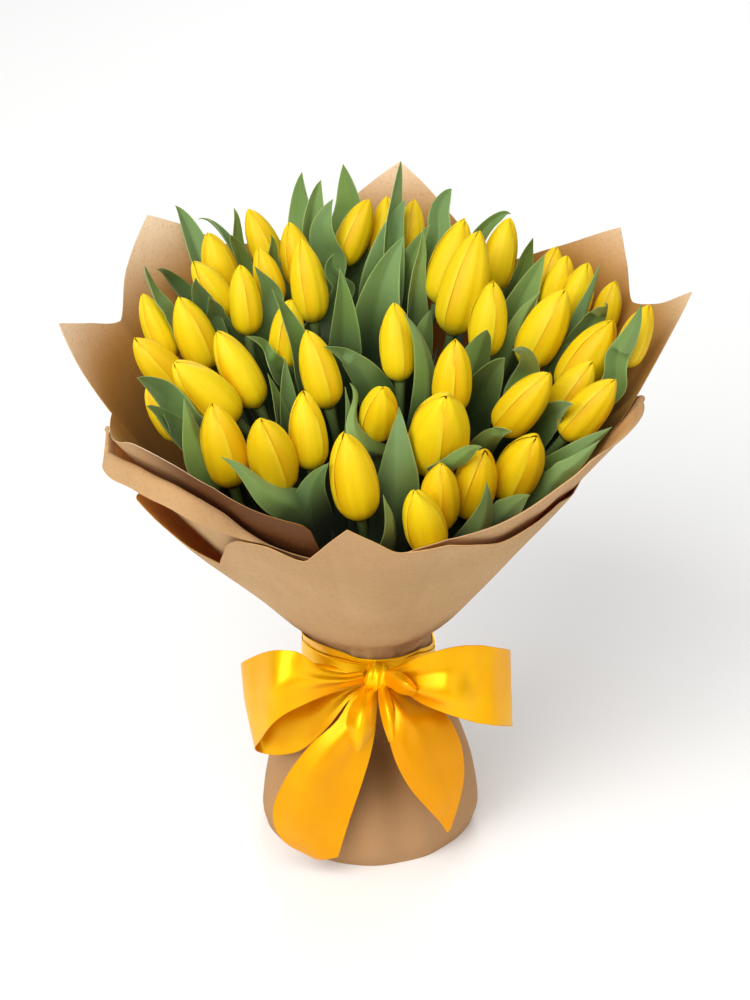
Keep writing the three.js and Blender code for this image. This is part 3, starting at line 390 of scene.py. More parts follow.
class Recipe:
    """Puts one material together, node by node.

    A mix node's share, colours and result go by their numbers, because their names aren't unique.
    """

    MIX_INPUTS = (0, 6, 7)
    MIX_RESULT = 2

    def __init__(self, name: str) -> None:
        """Starts a material with a Principled surface.

        Args:
            name: its name.
        """
        self.material = bpy.data.materials.new(name)
        self.material.use_nodes = True
        self.tree = self.material.node_tree
        self.tree.nodes.clear()
        self.surface = self.add("ShaderNodeBsdfPrincipled")
        self.add("ShaderNodeOutputMaterial", {"Surface": self.surface.outputs["BSDF"]})

    def add(
        self, kind: str, fed: dict[str | int, object] | None = None, **settings: object
    ) -> bpy.types.Node:
        """A node of this kind.

        Args:
            kind: its type.
            fed: what goes into its inputs, by their names or numbers.
            settings: its properties.

        Returns:
            The node.
        """
        node = self.tree.nodes.new(kind)
        for key, value in settings.items():
            setattr(node, key, value)
        for key, value in (fed or {}).items():
            self.feed(node.inputs[key], value)
        return node

    def feed(self, socket: Socket, value: object) -> None:
        """Links a socket to another, or sets its value.

        Args:
            socket: the socket.
            value: an output socket, a plain value, or None to leave it.
        """
        if isinstance(value, bpy.types.NodeSocket):
            self.tree.links.new(value, socket)
        elif value is not None:
            socket.default_value = value

    def set(self, **values: object) -> None:
        """Sets or links the surface's inputs. An underscore stands for a space."""
        for key, value in values.items():
            self.feed(self.surface.inputs[key.replace("_", " ")], value)

    def place(self, *scales: float) -> Socket:
        """Object coordinates, stretched by up to three scales."""
        made = self.add("ShaderNodeTexCoord").outputs["Object"]
        return self.stretched(made, *scales) if scales else made

    def stretched(self, value: Socket, *scales: float) -> Socket:
        """A vector with its parts multiplied."""
        return self.add("ShaderNodeMapping", {"Vector": value, "Scale": scales}).outputs["Vector"]

    def uv(self) -> Socket:
        """The piece's own pattern coordinates."""
        return self.add("ShaderNodeUVMap", uv_map="UVMap").outputs["UV"]

    def parts(self, vector: Socket) -> tuple[Socket, Socket, Socket]:
        """A vector's three parts."""
        return tuple(self.add("ShaderNodeSeparateXYZ", {0: vector}).outputs)

    def off_middle(self, across: Socket) -> Socket:
        """How far a place across the piece is from its middle line, 1 at the margins."""
        return self.sum("ABSOLUTE", self.sum("MULTIPLY_ADD", across, 2.0, -1.0))

    def mark(self, name: str) -> Socket:
        """A number stored at each corner."""
        return self.add("ShaderNodeAttribute", attribute_name=name).outputs["Fac"]

    def sum(self, kind: str, *terms: object) -> Socket:
        """An arithmetic node: ADD, MULTIPLY, POWER and so on."""
        return self.add("ShaderNodeMath", dict(enumerate(terms)), operation=kind).outputs[0]

    def span(
        self, value: Socket, low: float, high: float, to: Pair = (0.0, 1.0)
    ) -> Socket:
        """A smooth step of a value between two limits.

        Args:
            value: the value.
            low: where the step starts.
            high: where it ends.
            to: the result at the start and at the end.

        Returns:
            The step.
        """
        fed = dict(enumerate((value, low, high, *to)))
        node = self.add("ShaderNodeMapRange", fed, interpolation_type="SMOOTHSTEP")
        return node.outputs["Result"]

    def noise(self, vector: Socket, scale: float, detail: float, rough: float = 0.5) -> Socket:
        """Soft random values from 0 to 1."""
        fed = {"Vector": vector, "Scale": scale, "Detail": detail, "Roughness": rough}
        return self.add("ShaderNodeTexNoise", fed).outputs["Fac"]

    def waves(self, vector: Socket, scale: float, stray: float, direction: str = "X") -> Socket:
        """Bands across a direction, strayed by noise."""
        fed = {"Vector": vector, "Scale": scale, "Distortion": stray, "Detail": 2.0}
        return self.add("ShaderNodeTexWave", fed, bands_direction=direction).outputs["Fac"]

    def tinted(self, share: object, a: object, b: object) -> Socket:
        """A colour a share of the way from a to b.

        Args:
            share: the share.
            a: the first colour.
            b: the second one.

        Returns:
            The colour.
        """
        colours = ((*c, 1.0) if isinstance(c, tuple) else c for c in (a, b))
        fed = dict(zip(self.MIX_INPUTS, (share, *colours)))
        return self.add("ShaderNodeMix", fed, data_type="RGBA").outputs[self.MIX_RESULT]

    def washed(self, base: object, colour: object, share: Socket, weight: object) -> Socket:
        """A colour with another laid over it where a share says, with a weight."""
        return self.tinted(self.sum("MULTIPLY", share, weight), base, colour)

    def relief(self, *layers: tuple[Socket, float, float]) -> None:
        """Bump layers, each a height, a strength and a depth in metres, on the surface."""
        normal = None
        for height, strength, depth in layers:
            fed = {"Height": height, "Strength": strength, "Distance": depth, "Normal": normal}
            normal = self.add("ShaderNodeBump", fed).outputs["Normal"]
        self.set(Normal=normal)


class Finish:
    """A finish makes its material once and then lends it to every piece."""

    made: dict[str, bpy.types.Material] = {}

    def material(self) -> bpy.types.Material:
        """The finish's material.

        Returns:
            The material, the same one each time.
        """
        name = type(self).__name__
        if name not in Finish.made:
            recipe = Recipe(name)
            self.write(recipe)
            Finish.made[name] = recipe.material
        return Finish.made[name]

    def write(self, r: Recipe) -> None:
        """Writes the finish's nodes."""
        raise NotImplementedError


@dataclass(frozen=True)
class PetalFinish(Finish):
    """Waxy yellow petal: green at the foot, paler at the margins, fine veins along it."""

    yellow: Colour = (0.90, 0.60, 0.0015)
    deep: Colour = (0.86, 0.41, 0.001)
    pale: Colour = (0.97, 0.72, 0.03)
    foot: Colour = (0.52, 0.47, 0.015)
    foot_end: float = 0.17
    # Where the painted seam shade on the covered margin ends, across the petal.
    seam_shade_end: float = 0.38
    margin_start: float = 0.86
    glow: Colour = (1.0, 0.62, 0.03)

    def write(self, r: Recipe) -> None:
        """Colours run from the foot to the tip and from the covered margin, darkened by a painted seam
        shade, to the free one.

        Args:
            r: the material's recipe.
        """
        across, along, _ = r.parts(r.uv())
        streaks = r.noise(r.stretched(r.uv(), 26.0, 1.3, 1.0), 1.0, 4.0)
        base = r.washed(self.yellow, self.deep, r.span(streaks, 0.4, 0.8), 0.45)
        base = r.washed(base, self.pale, r.noise(r.place(), 60.0, 2.0), 0.22)
        base = r.washed(base, self.deep, r.mark("tint"), 0.45)
        # Painted shade: the covered margin is darkened to orange where it lies under the next petal.
        base = r.washed(base, self.deep, r.span(across, self.seam_shade_end, 0.02), 0.72)
        base = r.washed(base, self.pale, r.span(across, self.margin_start, 1.0), 0.5)
        base = r.washed(base, self.foot, r.span(along, self.foot_end, 0.0), 0.75)
        r.set(
            Base_Color=base,
            Roughness=r.span(streaks, 0.2, 0.9, (0.42, 0.58)),
            Subsurface_Weight=0.35,
            Subsurface_Radius=self.glow,
            Subsurface_Scale=0.005,
            Specular_IOR_Level=0.22,
        )
        veins = r.waves(r.stretched(r.uv(), 15.0, 0.4, 1.0), 1.0, 1.6)
        r.relief((veins, 0.1, 0.0005), (streaks, 0.18, 0.0005))


@dataclass(frozen=True)
class LeafFinish(Finish):
    """Blue-green waxy blade: parallel veins, a pale margin, and painted shade that darkens it deep in
    the bunch.
    """

    green: Colour = (0.098, 0.200, 0.032)
    blue: Colour = (0.155, 0.270, 0.105)
    young: Colour = (0.270, 0.400, 0.070)
    # dark is painted shade for blades deep under the heads.
    dark: Colour = (0.008, 0.022, 0.004)
    margin: Colour = (0.42, 0.54, 0.17)
    margin_start: float = 0.88
    glow: Colour = (0.3, 1.0, 0.1)

    def write(self, r: Recipe) -> None:
        """Colours run from the rib to the margins, and painted shade darkens the blade deep under the
        heads.

        Args:
            r: the material's recipe.
        """
        across, _, _ = r.parts(r.uv())
        bloom = r.noise(r.place(), 22.0, 3.0)
        streaks = r.noise(r.stretched(r.uv(), 30.0, 1.5, 1.0), 1.0, 3.0)
        base = r.tinted(r.span(bloom, 0.35, 0.7), self.green, self.blue)
        base = r.washed(base, self.young, r.mark("tint"), 0.55)
        base = r.washed(base, self.young, r.span(streaks, 0.45, 0.75), 0.3)
        base = r.washed(base, self.blue, r.mark("inside"), 0.25)
        edge = r.span(r.off_middle(across), self.margin_start, 1.0)
        base = r.washed(base, self.margin, edge, 0.6)
        # Painted shade: the blade darkens where it lies deep below the dome of the heads.
        base = r.washed(base, self.dark, r.span(r.mark("deep"), 0.05, 0.8), 0.97)
        r.set(
            Base_Color=base,
            Roughness=r.span(bloom, 0.2, 0.8, (0.38, 0.55)),
            Specular_IOR_Level=0.5,
            Sheen_Weight=0.08,
            Subsurface_Weight=0.06,
            Subsurface_Radius=self.glow,
            Subsurface_Scale=0.002,
        )
        veins = r.waves(r.stretched(r.uv(), 11.0, 0.3, 1.0), 1.0, 0.8)
        r.relief((veins, 0.35, 0.0007), (streaks, 0.25, 0.0005))


@dataclass(frozen=True)
class StemFinish(Finish):
    """Smooth pale green stem, whiter at the cut end, and darkened by painted shade deep in the bunch.
    """

    green: Colour = (0.075, 0.135, 0.030)
    pale: Colour = (0.26, 0.33, 0.13)
    # dark is painted shade for stems deep under the heads.
    dark: Colour = (0.008, 0.016, 0.004)
    cut_end: float = 0.05

    def write(self, r: Recipe) -> None:
        """Streaks run along the stem.

        Args:
            r: the material's recipe.
        """
        _, along, _ = r.parts(r.uv())
        streaks = r.noise(r.stretched(r.uv(), 9.0, 3.0, 1.0), 1.0, 3.0)
        base = r.washed(self.green, self.pale, streaks, 0.5)
        base = r.tinted(r.span(along, self.cut_end, 0.0), base, self.pale)
        # Painted shade: above its lower part the stem darkens where it lies deep below the heads.
        root = r.sum("MULTIPLY", r.span(r.mark("deep"), 0.0, 0.75), 0.95)
        base = r.washed(base, self.dark, root, r.span(along, 0.3, 0.45))
        r.set(Base_Color=base, Roughness=0.42, Specular_IOR_Level=0.4)
        r.relief((streaks, 0.3, 0.0006))


@dataclass(frozen=True)
class KraftFinish(Finish):
    """Brown kraft paper: machine ribs, flecks and fibres, painted light and shade inside and a skirt
    darkened by painted shade.
    """

    outside: Colour = (0.42, 0.255, 0.115)
    light: Colour = (0.50, 0.315, 0.155)
    # inside, middle and shaded are painted light and shade for the inner faces: lit high up, dark
    # lower down.
    inside: Colour = (0.90, 0.70, 0.49)
    middle: Colour = (0.38, 0.19, 0.032)
    shaded: Colour = (0.145, 0.070, 0.002)
    fleck: Colour = (0.25, 0.13, 0.045)
    # low is painted shade for the skirt under the bunch.
    low: Colour = (0.42, 0.225, 0.10)
    # hollow is painted shade for the hollow of the skirt between the ribbon's tails.
    hollow: Colour = (0.12, 0.05, 0.006)
    # warm is painted bounce light for the inner faces of the outer sheets, which lie in shade.
    warm: Colour = (0.96, 0.52, 0.15)
    # brown is painted shade for the back sheet's outer face near its front rim, between the layers.
    brown: Colour = (0.085, 0.022, 0.001)
    glow: Colour = (1.0, 0.45, 0.18)
    # Where the inner faces' painted light turns to painted shade: by height, less along X and Y.
    fade_slope: float = -0.065
    fade_middle: Pair = (0.406, 0.350)
    fade_shaded: Pair = (0.372, 0.310)
    # Heights in metres where the skirt's painted shade starts and where it is full.
    skirt_top: Pair = (0.15, 0.09)

    def write(self, r: Recipe) -> None:
        """Ribs follow the sheet, and fibres and mottling don't. The inside takes painted light high up
        and painted shade lower down.

        Args:
            r: the material's recipe.
        """
        ribs = r.waves(r.uv(), 9.0, 1.2)
        mottle = r.noise(r.place(), 9.0, 4.0, 0.6)
        fibre = r.noise(r.place(240.0, 240.0, 900.0), 1.0, 4.0, 0.65)
        cross = r.noise(r.place(900.0, 500.0, 200.0), 1.0, 3.0, 0.6)
        grain = r.sum("MULTIPLY", r.sum("ADD", fibre, cross), 0.5)
        x, y, height = r.parts(r.place())
        # Painted light and shade on the inner faces: lighter high up, darker lower and towards +X and
        # +Y.
        sides = r.sum("MULTIPLY", r.sum("ADD", x, y), self.fade_slope)
        fade = r.sum("ADD", height, sides)
        within = r.tinted(r.span(fade, *self.fade_middle), self.inside, self.middle)
        within = r.tinted(r.span(fade, *self.fade_shaded), within, self.shaded)
        # Painted light: on the outer sheets' inner faces a warm colour stands in for light bounced
        # into their shade.
        within = r.tinted(r.mark("painted_bounce"), within, self.warm)
        base = r.tinted(r.span(mottle, 0.3, 0.75), self.outside, self.light)
        # Painted shade: the back sheet's outer face near its front rim, between the sheets, is
        # darkened.
        base = r.tinted(r.mark("tucked_shade"), base, self.brown)
        base = r.washed(base, within, r.mark("inside"), r.mark("painted_inside"))
        base = r.washed(base, self.fleck, r.span(grain, 0.5, 0.66), 0.32)
        base = r.washed(base, self.fleck, ribs, 0.07)
        # Painted shade: the skirt under the bunch darkens towards the floor.
        base = r.washed(base, self.low, r.span(height, *self.skirt_top), 0.7)
        # Painted shade in the hollow of the skirt between the ribbon's tails.
        base = r.washed(base, self.hollow, r.mark("deep"), 0.9)
        r.set(
            Base_Color=base,
            Roughness=r.span(grain, 0.3, 0.7, (0.68, 0.86)),
            Specular_IOR_Level=0.2,
            Subsurface_Weight=0.18,
            Subsurface_Radius=self.glow,
            Subsurface_Scale=0.0025,
        )
        soft = r.noise(r.place(), 34.0, 3.0, 0.55)
        r.relief((soft, 0.35, 0.0022), (ribs, 0.1, 0.0004), (grain, 0.32, 0.0004))


@dataclass(frozen=True)
class SatinFinish(Finish):
    """Golden satin ribbon: a close weave with long floats, and a firm selvedge at each edge."""

    gold: Colour = (0.88, 0.40, 0.0005)
    deep: Colour = (0.72, 0.27, 0.0005)
    bright: Colour = (0.93, 0.48, 0.001)
    sunlit: Colour = (1.0, 0.60, 0.001)
    selvedge: Pair = (0.965, 0.985)

    def write(self, r: Recipe) -> None:
        """The floats run along the ribbon, so gloss spreads across it.

        Args:
            r: the material's recipe.
        """
        across, _, _ = r.parts(r.uv())
        cloud = r.noise(r.place(), 30.0, 2.0)
        selvedge = r.span(r.off_middle(across), *self.selvedge)
        base = r.tinted(r.span(cloud, 0.3, 0.75), self.gold, self.bright)
        base = r.washed(base, self.deep, selvedge, 0.5)
        # Painted shade: the tint mark darkens the ribbon's tails towards deep orange.
        base = r.tinted(r.mark("tint"), base, self.deep)
        base = r.tinted(r.mark("sunlit"), base, self.sunlit)
        floats = r.waves(r.stretched(r.uv(), 60.0, 1.0, 1.0), 1.0, 1.0)
        picks = r.waves(r.stretched(r.uv(), 1.0, 60.0, 1.0), 1.0, 0.6, "Y")
        tangent = r.add("ShaderNodeTangent", direction_type="UV_MAP", uv_map="UVMap")
        r.set(
            Base_Color=base,
            Metallic=0.6,
            Roughness=0.32,
            Anisotropic=0.5,
            Coat_Weight=0.12,
            Coat_Roughness=0.22,
            Anisotropic_Rotation=0.25,
            Specular_IOR_Level=0.05,
            Tangent=tangent.outputs["Tangent"],
        )
        r.relief((floats, 0.12, 0.0002), (picks, 0.1, 0.0002), (selvedge, 0.3, 0.0003))


@dataclass(frozen=True)
class TwineFinish(Finish):
    """Rough natural fibre."""

    straw: Colour = (0.50, 0.38, 0.20)
    brown: Colour = (0.25, 0.17, 0.08)

    def write(self, r: Recipe) -> None:
        """Fibres wind round the strand.

        Args:
            r: the material's recipe.
        """
        fibre = r.noise(r.stretched(r.uv(), 6.0, 300.0, 1.0), 1.0, 4.0, 0.7)
        r.set(Base_Color=r.tinted(fibre, self.straw, self.brown), Roughness=0.9)
        r.relief((fibre, 0.8, 0.0005))


@dataclass(frozen=True)
class FloorFinish(Finish):
    """Matt off-white floor."""

    white: Colour = (0.90, 0.90, 0.895)

    def write(self, r: Recipe) -> None:
        """A plain surface with the faintest mottling.

        Args:
            r: the material's recipe.
        """
        cloud = r.noise(r.place(), 1.5, 2.0)
        shade = tuple(0.985 * c for c in self.white)
        r.set(Base_Color=r.tinted(cloud, self.white, shade), Roughness=0.9)


# Where things are seen


@dataclass(frozen=True)
class Eye:
    """The eye that saw the bunch, which gives a place to each picture point."""

    distance: float = 1800.0
    rise: float = math.radians(32)
    target: Triple = (4.5, 0.0, 258.6)
    point_size: float = 0.66
    middle: Pair = (375.0, 500.0)
    picture_height: float = 1000.0

    @property
    def back(self) -> Array:
        """The direction from the target to the eye."""
        return np.array([0, -math.cos(self.rise), math.sin(self.rise)])

    @property
    def up(self) -> Array:
        """The picture's upward direction."""
        return np.array([0, math.sin(self.rise), math.cos(self.rise)])

    @property
    def place(self) -> Array:
        """Where the eye is."""
        return np.array(self.target) + self.back * self.distance

    def sight(self, points: Array) -> Array:
        """Unit directions in which picture points are seen.

        Args:
            points: places across and down in the picture.

        Returns:
            The directions.
        """
        p = np.asarray(points, float)
        right = np.array([1.0, 0, 0]) * (p[..., :1] - self.middle[0])
        return unit(
            right
            + self.up * (self.middle[1] - p[..., 1:2])
            - self.back * self.distance / self.point_size
        )

    def at_depth(self, points: Array, depth: Array | float) -> Array:
        """Where picture points are, on the upright planes y = depth.

        Args:
            points: places across and down in the picture.
            depth: the planes' y.

        Returns:
            The places.
        """
        way = self.sight(points)
        reach = (np.asarray(depth, float) - self.place[1]) / way[..., 1]
        return self.place + way * reach[..., None]


@dataclass(frozen=True)
class Dome:
    """The low dome, leaning to the viewer, that the middles of the heads lie on."""

    top: float = 377.0
    lean: float = 0.225
    sag: float = 0.0009

    def below(self, points: Array, most: float = 75.0) -> Array:
        """How far places lie below the dome, as a share of the most that counts.

        Args:
            points: the places.
            most: the depth that counts as 1.

        Returns:
            Shares from 0 to 1.
        """
        x, y, z = np.moveaxis(points, -1, 0)
        surface = self.top + self.lean * y - self.sag * (x * x + y * y)
        return np.clip((surface - z) / most, 0, 1)

    def seen(self, eye: Eye, points: Array, lift: Array, farthest: Array) -> Array:
        """Where picture points are on the dome.

        The line of sight meets z = top + lift + lean y - sag (x^2 + y^2), and a place that would be
        too far back is put on an upright plane instead.

        Args:
            eye: the eye.
            points: (n, 2) picture points.
            lift: (n,) heights above the dome.
            farthest: (n,) largest y.

        Returns:
            (n, 3) places.
        """
        d, o = eye.sight(points), eye.place
        a = self.sag * (d[:, 0] ** 2 + d[:, 1] ** 2)
        b = d[:, 2] - self.lean * d[:, 1] + 2 * self.sag * (o[0] * d[:, 0] + o[1] * d[:, 1])
        c = o[2] - self.top - lift - self.lean * o[1] + self.sag * (o[0] ** 2 + o[1] ** 2)
        reach = (-b - np.sqrt(np.maximum(b * b - 4 * a * c, 0))) / (2 * a)
        place = o + d * reach[:, None]
        behind = place[:, 1] > farthest
        place[behind] = eye.at_depth(np.asarray(points)[behind], farthest[behind])
        return place


EYE = Eye()
DOME = Dome()

# The paper's shape


@dataclass(frozen=True)
class SheetCut:
    """How one sheet of paper is cut and wrapped.

    Its free edge is a row of points: the direction in degrees from the front towards +X, the height
    above the waist, the distance from the middle and, on a sheet with a cuff, the cuff's share.
    """

    name: str
    node: str
    layer: int
    edge: tuple[Row, ...]
    corners: Row
    wrap: float = 1.0
    closed: bool = False
    footless: bool = False

    @property
    def turns(self) -> Array:
        """Directions of the edge's points."""
        return np.array([e[0] for e in self.edge])

    @property
    def cuffed(self) -> bool:
        """Whether the edge turns over."""
        return len(self.edge[0]) > 3

    def column(self, part: int, turns: Array) -> Array:
        """The edge's height, distance or cuff in these directions."""
        values = np.array([e[part] for e in self.edge])
        return creased_curve(self.turns, values, self.corners, turns)


BACK_SHEET = SheetCut(
    name="kraft_back",
    node="paper_back",
    layer=0,
    closed=True,
    corners=(-263, -235, -186, -133, -93, -13.7),
    edge=(
        (-371.5, 163, 144), (-360, 158, 141), (-340, 154, 138), (-320, 156, 139), (-300, 170, 149),
        (-284, 192, 165), (-276, 211, 177), (-270, 229, 189), (-263, 254, 207), (-255, 232, 192),
        (-249, 225, 187), (-241, 240, 197), (-235, 254, 207), (-221, 226, 188), (-212, 214, 179),
        (-205, 218, 182), (-197, 233, 193), (-191, 248, 203), (-186, 260, 211), (-178, 242, 199),
        (-166, 216, 181), (-150, 220, 184), (-140, 240, 197), (-133, 253, 206), (-122, 232, 192),
        (-111, 213, 179), (-102, 224, 187), (-93, 239, 197), (-86, 219, 183), (-79, 197, 168),
        (-66, 205, 173), (-54, 222, 184), (-45, 236, 194), (-38, 232, 192), (-31, 216, 181),
        (-23, 201, 170), (-13.7, 195, 166), (-12.2, 189, 162),
    ),
)
MIDDLE_SHEET = SheetCut(
    name="kraft_middle",
    node="paper_middle",
    layer=1,
    wrap=1.2,
    footless=True,
    corners=(-67, 38),
    edge=(
        (-74, 172, 169, 0), (-70.5, 192, 171, 0), (-67, 209, 173, 0), (-64.5, 196, 176, 0.35),
        (-61, 201, 178, 0.8), (-55, 206, 179, 1), (-48, 211, 182, 1), (-41, 211, 183, 1),
        (-36, 206, 180, 1), (-32, 195, 172, 0.85), (-28, 178, 160, 0.4), (-22, 166, 152, 0),
        (-12, 160, 148, 0), (0, 162, 149, 0), (12, 178, 160, 0), (20, 182, 163, 0),
        (27, 186, 166, 0), (33, 196, 173, 0), (38, 218, 189, 0), (47, 228, 192, 0),
        (58, 226, 190, 0), (70, 217, 183, 0), (82, 205, 176, 0), (88, 192, 167, 0),
    ),
)
OUTER_SHEET = SheetCut(
    name="kraft_outer",
    node="paper_outer",
    layer=2,
    wrap=1.5,
    corners=(-59, -49, -3.5),
    edge=(
        (-74, 146, 148), (-66, 157, 158), (-59, 166, 165), (-55, 157, 160), (-52, 131, 140),
        (-49, 116, 124), (-42, 136, 136), (-35, 157, 151), (-29, 168, 159), (-23, 171, 161),
        (-15, 161, 154), (-11, 174, 163), (-3.5, 211, 190), (1, 198, 181), (7, 181, 168),
        (15, 181, 168), (23, 174, 163), (31, 167, 158), (38, 181, 168), (46, 186, 168),
        (54, 179, 160), (63, 170, 152), (72, 164, 148), (82, 154, 142),
    ),
)


@dataclass(frozen=True)
class PaperFolds:
    """How the paper leaves its smooth cone and skirt, the same for every sheet.

    A fold is a radial distance that depends on the direction and the height only, so sheets that
    lie on one another stay so. The neck dips in over the ribbon, the hollow lies between its tails,
    and each crease has a direction, a depth and a width.
    """

    gathers: int = 19
    fine_gathers: int = 31
    gather_depth: float = 1.3
    gather_reach: float = 36.0
    neck_dip: float = 6.4
    neck_height: float = 171.0
    neck_reach: float = 10.5
    neck_width: float = 55.0
    skirt_top: float = 118.0
    skirt_fade: float = 60.0
    foot_start: float = -14.0
    foot_fade: float = 40.0
    skirt_depth: float = 2.0
    skirt_shrink: float = 3.4
    hollow_depth: float = 9.0
    hollow_middle: Pair = (11.0, 86.0)
    hollow_size: Pair = (17.0, 30.0)
    cone_start: float = 185.0
    cone_fade: float = 90.0
    cone_depth: float = 1.5
    creases: tuple[Triple, ...] = (
        (-150.0, 2.2, 3.5), (-111.0, 3.0, 4.0), (-79.0, 2.6, 3.0), (-31.0, 1.4, 2.5),
        (-8.0, 1.5, 2.2), (17.0, 1.6, 3.0), (44.0, 1.3, 2.5), (75.0, 2.2, 3.5),
        (111.0, 2.6, 4.0), (148.0, 2.4, 4.0), (183.0, 1.8, 3.0),
    )

    def dip(self, facing: Array, height: Array) -> Array:
        """How far the neck is drawn in above the ribbon, most of all in front."""
        front = mix(0.3, 1, hump(facing, 0, self.neck_width))
        return self.neck_dip * hump(height, self.neck_height, self.neck_reach) * front

    def hollow(self, facing: Array, height: Array) -> Array:
        """The hollow of the skirt between the ribbon's tails, 1 where it is deepest."""
        (turn, level), (wide, tall) = self.hollow_middle, self.hollow_size
        return hump(facing, turn, wide) * hump(height, level, tall)

    def out(self, degrees: Array, height: Array) -> Array:
        """The distance outwards.

        Gathers are narrow waves round the neck, the skirt has broad soft waves and a dent in front,
        and above the neck long creases run up to the free edge: each is a cusp across its line.

        Args:
            degrees: directions from the front.
            height: heights above the ground.

        Returns:
            Distances outwards.
        """
        a = np.radians(degrees)
        neck = hump(height, WAIST_HEIGHT, self.gather_reach)
        waves = np.sin(self.gathers * a + 1.4 * np.sin(3 * a + 0.5))
        waves = waves + 0.5 * np.sin(self.fine_gathers * a + 2)
        result = self.gather_depth * neck * (0.42 * waves - 0.62)
        facing = wrapped(degrees)
        result -= self.dip(facing, height)
        skirt = ease((self.skirt_top - height) / self.skirt_fade)
        skirt = skirt * ease((height - self.foot_start) / self.foot_fade)
        soft = np.sin(5 * a + 0.9) + 0.6 * np.sin(9 * a + 2.2) + 0.35 * np.sin(14 * a)
        result += skirt * (self.skirt_depth * soft - self.skirt_shrink)
        result -= self.hollow_depth * self.hollow(facing, height)
        cone = ease((height - self.cone_start) / self.cone_fade)
        broad = np.sin(4 * a + 0.4) + 0.7 * np.sin(7 * a + 1.9) + 0.4 * np.sin(11 * a + 0.2)
        result += self.cone_depth * cone * broad
        for turn, depth, width in self.creases:
            result -= depth * cone * np.exp(-abs(wrapped(degrees - turn)) / width)
        return result


